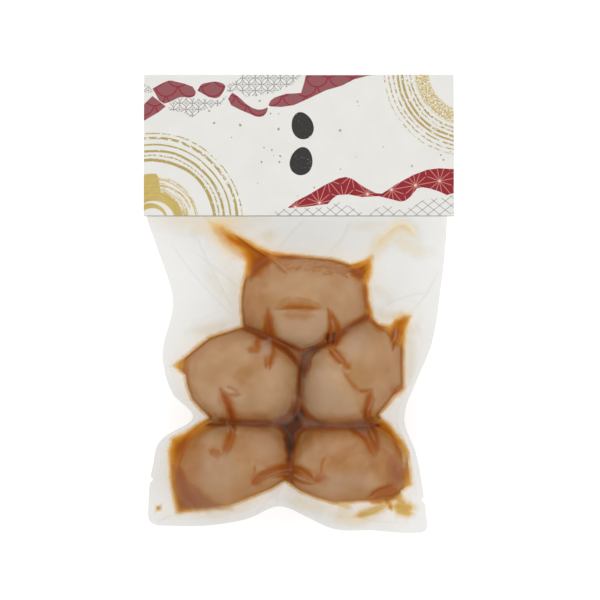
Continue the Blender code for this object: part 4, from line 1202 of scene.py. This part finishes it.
def build_card():
    """The header card: a strip cut up along its print, folded over the rim and given its thickness."""
    fall = math.atan(HEADER_SLOPE)
    seam_bottom = float(seam_height(0.0, CARD_BOTTOM_Y))
    radius = CARD_HALF_GAP + CARD_THICKNESS
    run = (CARD_TOP_Y - radius - CARD_BOTTOM_Y) / math.cos(fall)
    strip = 2 * run + math.pi * radius
    half = CARD_WIDTH / 2

    def folded(v):
        """Y and z of the card's outer face, from along the strip."""
        along, off = min(v, strip - v), radius if v < strip / 2 else -radius
        if run < v < strip - run:
            angle = math.pi / 2 - (v - run) / radius
            along, off = run + radius * math.cos(angle), radius * math.sin(angle)
        return (CARD_BOTTOM_Y + along * math.cos(fall) + off * math.sin(fall),
                seam_bottom - along * math.sin(fall) + off * math.cos(fall))

    names, points, faces = [], [], []
    for name, outline in [("paper", pairs(-half, 0, half, 0, half, strip, -half, strip))] + print_fields():
        if name != "paper":
            u, v = outline.T
            v = (v - CARD_BOTTOM_Y - radius * math.sin(fall)) / math.cos(fall)
            outline = np.stack((u, np.minimum(v, run + 0.6) if name == "scales" else v), -1)
        if sum(ax * by - bx * ay for (ax, ay), (bx, by) in sides_of(outline)) < 0.0:
            outline = outline[::-1]
        faces.append(list(range(len(points), len(points) + len(outline))))
        points += [Vector(p) for p in outline]
        names.append(name)
    edges = []
    for k in range(FOLD_STEPS + 1):
        v = run + math.pi * radius * k / FOLD_STEPS
        edges.append((len(points), len(points) + 1))
        points += [Vector((-half, v)), Vector((half, v))]
    places, _, triangles, _, _, sources = geometry.delaunay_2d_cdt(points, edges, faces, 1, 1e-5)

    bm = bmesh.new()
    verts = []
    for place in places:
        y, z = folded(min(max(place.y, 0.0), strip))
        verts.append(bm.verts.new((place.x * MM, y * MM, z * MM)))
    uv = bm.loops.layers.uv.new("OFBake")
    for triangle, source in zip(triangles, sources):
        if 0 not in source:
            continue
        face = bm.faces.new([verts[k] for k in triangle])
        face.material_index = list(PRINTS).index(names[max(source)])
        for loop, k in zip(face.loops, triangle):
            loop[uv].uv = ((places[k].x + half) / CARD_WIDTH, places[k].y / CARD_WIDTH)
    bmesh.ops.delete(bm, geom=[v for v in bm.verts if not v.link_faces], context="VERTS")
    mesh = mesh_from(bm, "printed_card", *(printed(*maker) for maker in PRINTS.items()))
    card = add_piece("printed_card", mesh, "card", "header_card")
    sheet = card.modifiers.new("thickness", "SOLIDIFY")
    sheet.thickness = CARD_THICKNESS * MM
    sheet.offset = -1.0
    sheet.use_even_offset = True
    sheet.material_offset = sheet.material_offset_rim = len(PRINTS)


def printed(name, colour_at):
    """Coated card with faint fibres, whose colour is given by colour_at(tree, colour of the paper)."""
    material, tree, shader = new_material("card_" + name, Roughness=0.55, Specular_IOR_Level=0.4)
    bump(noise_at(position(tree), 2600.0, 3.0, 0.6), 0.05, 0.35, shader)
    mottle = noise_at(position(tree), 90.0, 3.0).rise(0.3, 0.7)
    paper = mixed(mottle, PAPER, tuple(c * 0.965 for c in PAPER))
    join(tree, colour_at(tree, paper), shader.inputs["Base Color"])
    return material


def line(distance, half_width):
    """1 within the half width of a line and 0 away from it."""
    return abs(distance).rise(half_width + LINE_BLUR, half_width - LINE_BLUR)


def length_of(a, b):
    return (a * a + b * b).math("SQRT")


def cell(x, y, wide, high, shift):
    """Offsets from the centre of the nearest cell of a grid, shifted by a share of a cell."""
    return (x / wide + shift).off_round() * wide, (y / high + shift).off_round() * high


def bare_paper(tree, paper):
    return paper


def gold(tree, paper):
    return mixed(noise_at(position(tree), 1500.0).rise(0.35, 0.65), (0.42, 0.33, 0.12), (0.24, 0.20, 0.11))


def ink(tree, paper):
    return mixed(noise_at(position(tree), 900.0, 4.0, 0.7).rise(0.62, 0.72), (0.016, 0.015, 0.014), paper)


def scales(tree, paper):
    """Rows of overlapping scales that hang down, each with rings inside its dark edge."""
    pitch, row_height, radius, phase = 10.7, 4.4, 5.35, (13.75, 100.6)
    x, y = plan_of(tree)
    right, down = (x - phase[0]) / pitch, (phase[1] - y) / row_height
    row = down.math("FLOOR")
    chosen = None
    for step in (1, 0, -1):
        level = row + step
        aside = (right - (level * 0.5).math("FRACT")).off_round() * pitch
        distance = length_of(aside, (down - level) * row_height)
        within = distance.math("LESS_THAN", radius)
        chosen = distance if chosen is None else within * distance + (1.0 - within) * chosen
    circles = (chosen * 1.55).math("FRACT").rise(0.30, 0.55) * 0.42
    return mixed(line(chosen - (radius - 0.25), 0.36), mixed(circles, RED, (0.20, 0.13, 0.14)),
                 (0.225, 0.010, 0.028))


def stars(tree, paper):
    """A lattice of stars, each with twelve fine rays."""
    pitch, tilt, start = 11.25, math.radians(10.3), (31.6, 50.4)
    x, y = plan_of(tree)
    dx, dy = x - start[0], y - start[1]
    along = dx * math.cos(tilt) + dy * math.sin(tilt)
    across = dy * math.cos(tilt) - dx * math.sin(tilt)
    (a1, b1), (a2, b2) = (cell(along, across, pitch, pitch * math.sqrt(3.0), shift) for shift in (0.0, 0.5))
    d1, d2 = length_of(a1, b1), length_of(a2, b2)
    first = d1.math("LESS_THAN", d2)
    a, b = first * a1 + (1.0 - first) * a2, first * b1 + (1.0 - first) * b2
    distance = d1.math("MINIMUM", d2)
    angle = b.math("ARCTAN2", a) / (math.pi / 6) + 12.5
    ray = line((angle.math("FRACT") - 0.5) * (math.pi / 6) * distance, 0.19) * distance.rise(6.4, 5.4)
    red = mixed(noise_at(position(tree), 60.0), DEEP_RED, tuple(c * 0.82 for c in DEEP_RED))
    return mixed(distance.rise(0.75, 0.35), mixed(ray * 0.66, red, (0.60, 0.25, 0.21)), (0.72, 0.52, 0.47))


def net(tree, paper):
    """A net of flat diamonds with a dot on each crossing."""
    wide, high, start = 5.3, 4.15, (33.0, 41.0)
    x, y = plan_of(tree)
    right, up = (x - start[0]) / wide, (y - start[1]) / high
    one, two = (right + up).off_round(), (right - up).off_round()
    lines = line(one * 3.2, 0.15).most(line(two * 3.2, 0.15))
    return mixed(lines.most(length_of(one, two).rise(0.13, 0.07)) * 0.72, paper, LINE_GREY)


def rings(tree, paper):
    """Rings that overlap by a quarter, as fine lines, with a cross in the middle of each."""
    pitch, start = 5.8, (-25.9, 101.1)
    x, y = plan_of(tree)
    parts = []
    for shift in (0.0, 0.5):
        a, b = cell(x - start[0], y - start[1], pitch, pitch, shift)
        distance = length_of(a, b)
        cross = line(a, 0.12).most(line(b, 0.12)) * distance.rise(1.2, 0.8)
        parts.append(line(distance - pitch / 2, 0.16).most(cross))
    return mixed(parts[0].most(parts[1]) * 0.82, paper, LINE_GREY)


def brush(tree, paper, kind):
    """Gold drawn round a centre with a wide dry brush, solid near it and streaky further out."""
    centre_x, centre_y, _ = BRUSHES[kind]
    x, y = plan_of(tree)
    dx, dy = x - centre_x, y - centre_y
    out, angle = length_of(dx, dy), dy.math("ARCTAN2", dx)
    ring = out + noise_at((out * 0.25, angle * 2.0, kind * 5.0), 1.0) * 1.2
    streaks = noise_at((ring, angle * 1.3, kind * 7.0), 1.1, 3.0, 0.7)
    grit = noise_at((ring * 0.9, angle * 15.0, kind * 3.0), 1.0, 3.0, 0.65)
    arcs = 0.0
    for place, half, dry in BRUSH_ARCS[kind]:
        arc = abs(ring - (place + 0.6)).rise(half + 0.26, half - 0.02)
        arcs = (arc * grit.rise(dry - 0.02, dry + 0.04)).most(arcs)
    if kind == 0:
        turned = angle * (1.0 / math.pi)
        rim = angle.rise(1.30, 1.52) * 8.2 + 14.1
        solid = (out - rim).rise(0.3, -0.3) * (out + turned - 10.2).rise(-0.3, 0.3)
        crescent = (out - (turned * 4.4 + 6.4)).rise(0.2, -0.2) * (out - (turned * 0.8 + 6.0)).rise(-0.2, 0.2)
        loose = (out - (rim - 1.0)).rise(-0.5, 0.5) * out.rise(21.8, 20.4)
        mask = arcs.most(loose * streaks.rise(0.49, 0.53) * grit.rise(0.34, 0.42))
        mask = mask.most(solid.most(crescent) * streaks.rise(0.20, 0.27))
    else:
        band = out.rise(18.4, 19.6) * out.rise(26.4, 24.6)
        mask = arcs.most(band * noise_at((x, y, 0.0), 1.15, 3.0, 0.7).rise(0.46, 0.50))
    paint = mixed(streaks.rise(0.35, 0.65), GOLD, (0.50, 0.375, 0.095))
    return mixed(mask * 0.97, paper, mixed(arcs * 0.75, paint, (0.33, 0.245, 0.055)))


# The card's materials, in the order of its material slots
PRINTS = {
    "paper": bare_paper, "scales": scales, "stars": stars, "net": net, "rings": rings,
    "brush_left": lambda tree, paper: brush(tree, paper, 0),
    "brush_right": lambda tree, paper: brush(tree, paper, 1),
    "gold": gold, "ink": ink, "paper_inside": bare_paper,
}

# The camera looks straight down: the photograph is VIEW_WIDTH across at the height of the rim
VIEW_WIDTH = 276.0
VIEW_CENTRE = (0.55, 1.61)
LENS, SENSOR = 700.0, 36.0
LAMP_DISTANCE, LAMP_HEIGHT, LAMP_SIZE = 0.95, 0.75, 1.0
LAMP_WATTS = (3.808, 3.808, 3.06, 3.06)
SKY_TOP, SKY_SIDES = 0.10, 0.86     # strength of the light from straight above, and from elsewhere
SKY_EDGE = (0.97, 0.82)             # heights between which the one turns into the other, 1 being the top
FLOOR_HALF, FLOOR_LEVEL = 3.0, -0.0002
FLOOR_GREYS = (0.45, 0.43)
FLOOR_GLOW = 0.66


def build_view():
    """The camera over the pack, four lamps round it and a bright sky."""
    camera = new_object("camera", bpy.data.cameras.new("camera"))
    camera.data.lens, camera.data.sensor_width = LENS, SENSOR
    camera.data.clip_start = 0.01
    distance = VIEW_WIDTH * LENS / SENSOR
    camera.location = (VIEW_CENTRE[0] * MM, VIEW_CENTRE[1] * MM, (SEAM_HEIGHT + distance) * MM)
    bpy.context.scene.camera = camera
    for k, watts in enumerate(LAMP_WATTS):
        turn = math.radians(45.0 + 90.0 * k)
        lamp = new_object(f"lamp_{k + 1}", bpy.data.lights.new(f"lamp_{k + 1}", "AREA"))
        lamp.data.size = LAMP_SIZE
        lamp.data.energy = watts
        lamp.location = (LAMP_DISTANCE * math.cos(turn), LAMP_DISTANCE * math.sin(turn), LAMP_HEIGHT)
        lamp.rotation_euler = (-lamp.location).to_track_quat("-Z", "Y").to_euler()
    world = bpy.data.worlds.new("studio")
    world.use_nodes = True
    tree = world.node_tree
    height = add_node(tree, "SeparateXYZ", (add_node(tree, "TexCoord", output="Generated"),), 2)
    background = tree.nodes["Background"].inputs
    background["Color"].default_value = (1.0, 1.0, 1.0, 1.0)
    join(tree, height.rise(*SKY_EDGE) * (SKY_SIDES - SKY_TOP) + SKY_TOP, background["Strength"])
    bpy.context.scene.world = world
    bpy.context.scene.view_settings.view_transform = "Standard"


def build_floor():
    """The white surface that the pack lies on."""
    material, tree, shader = new_material("floor", Roughness=0.9, Specular_IOR_Level=0.1,
                                          Emission_Color=(1.0, 1.0, 1.0), Emission_Strength=FLOOR_GLOW)
    mottle = mixed(noise_at(position(tree), 3.0), *((grey, grey, grey) for grey in FLOOR_GREYS))
    join(tree, mottle, shader.inputs["Base Color"])
    bm = bmesh.new()
    bmesh.ops.create_grid(bm, x_segments=1, y_segments=1, size=FLOOR_HALF)
    floor = new_object("floor", mesh_from(bm, "floor", material))
    floor.location.z = FLOOR_LEVEL


def main():
    build_view()
    build_floor()
    lattice = Lattice()
    build_films(lattice)
    build_marinade(lattice)
    build_eggs(lattice)
    build_card()


main()
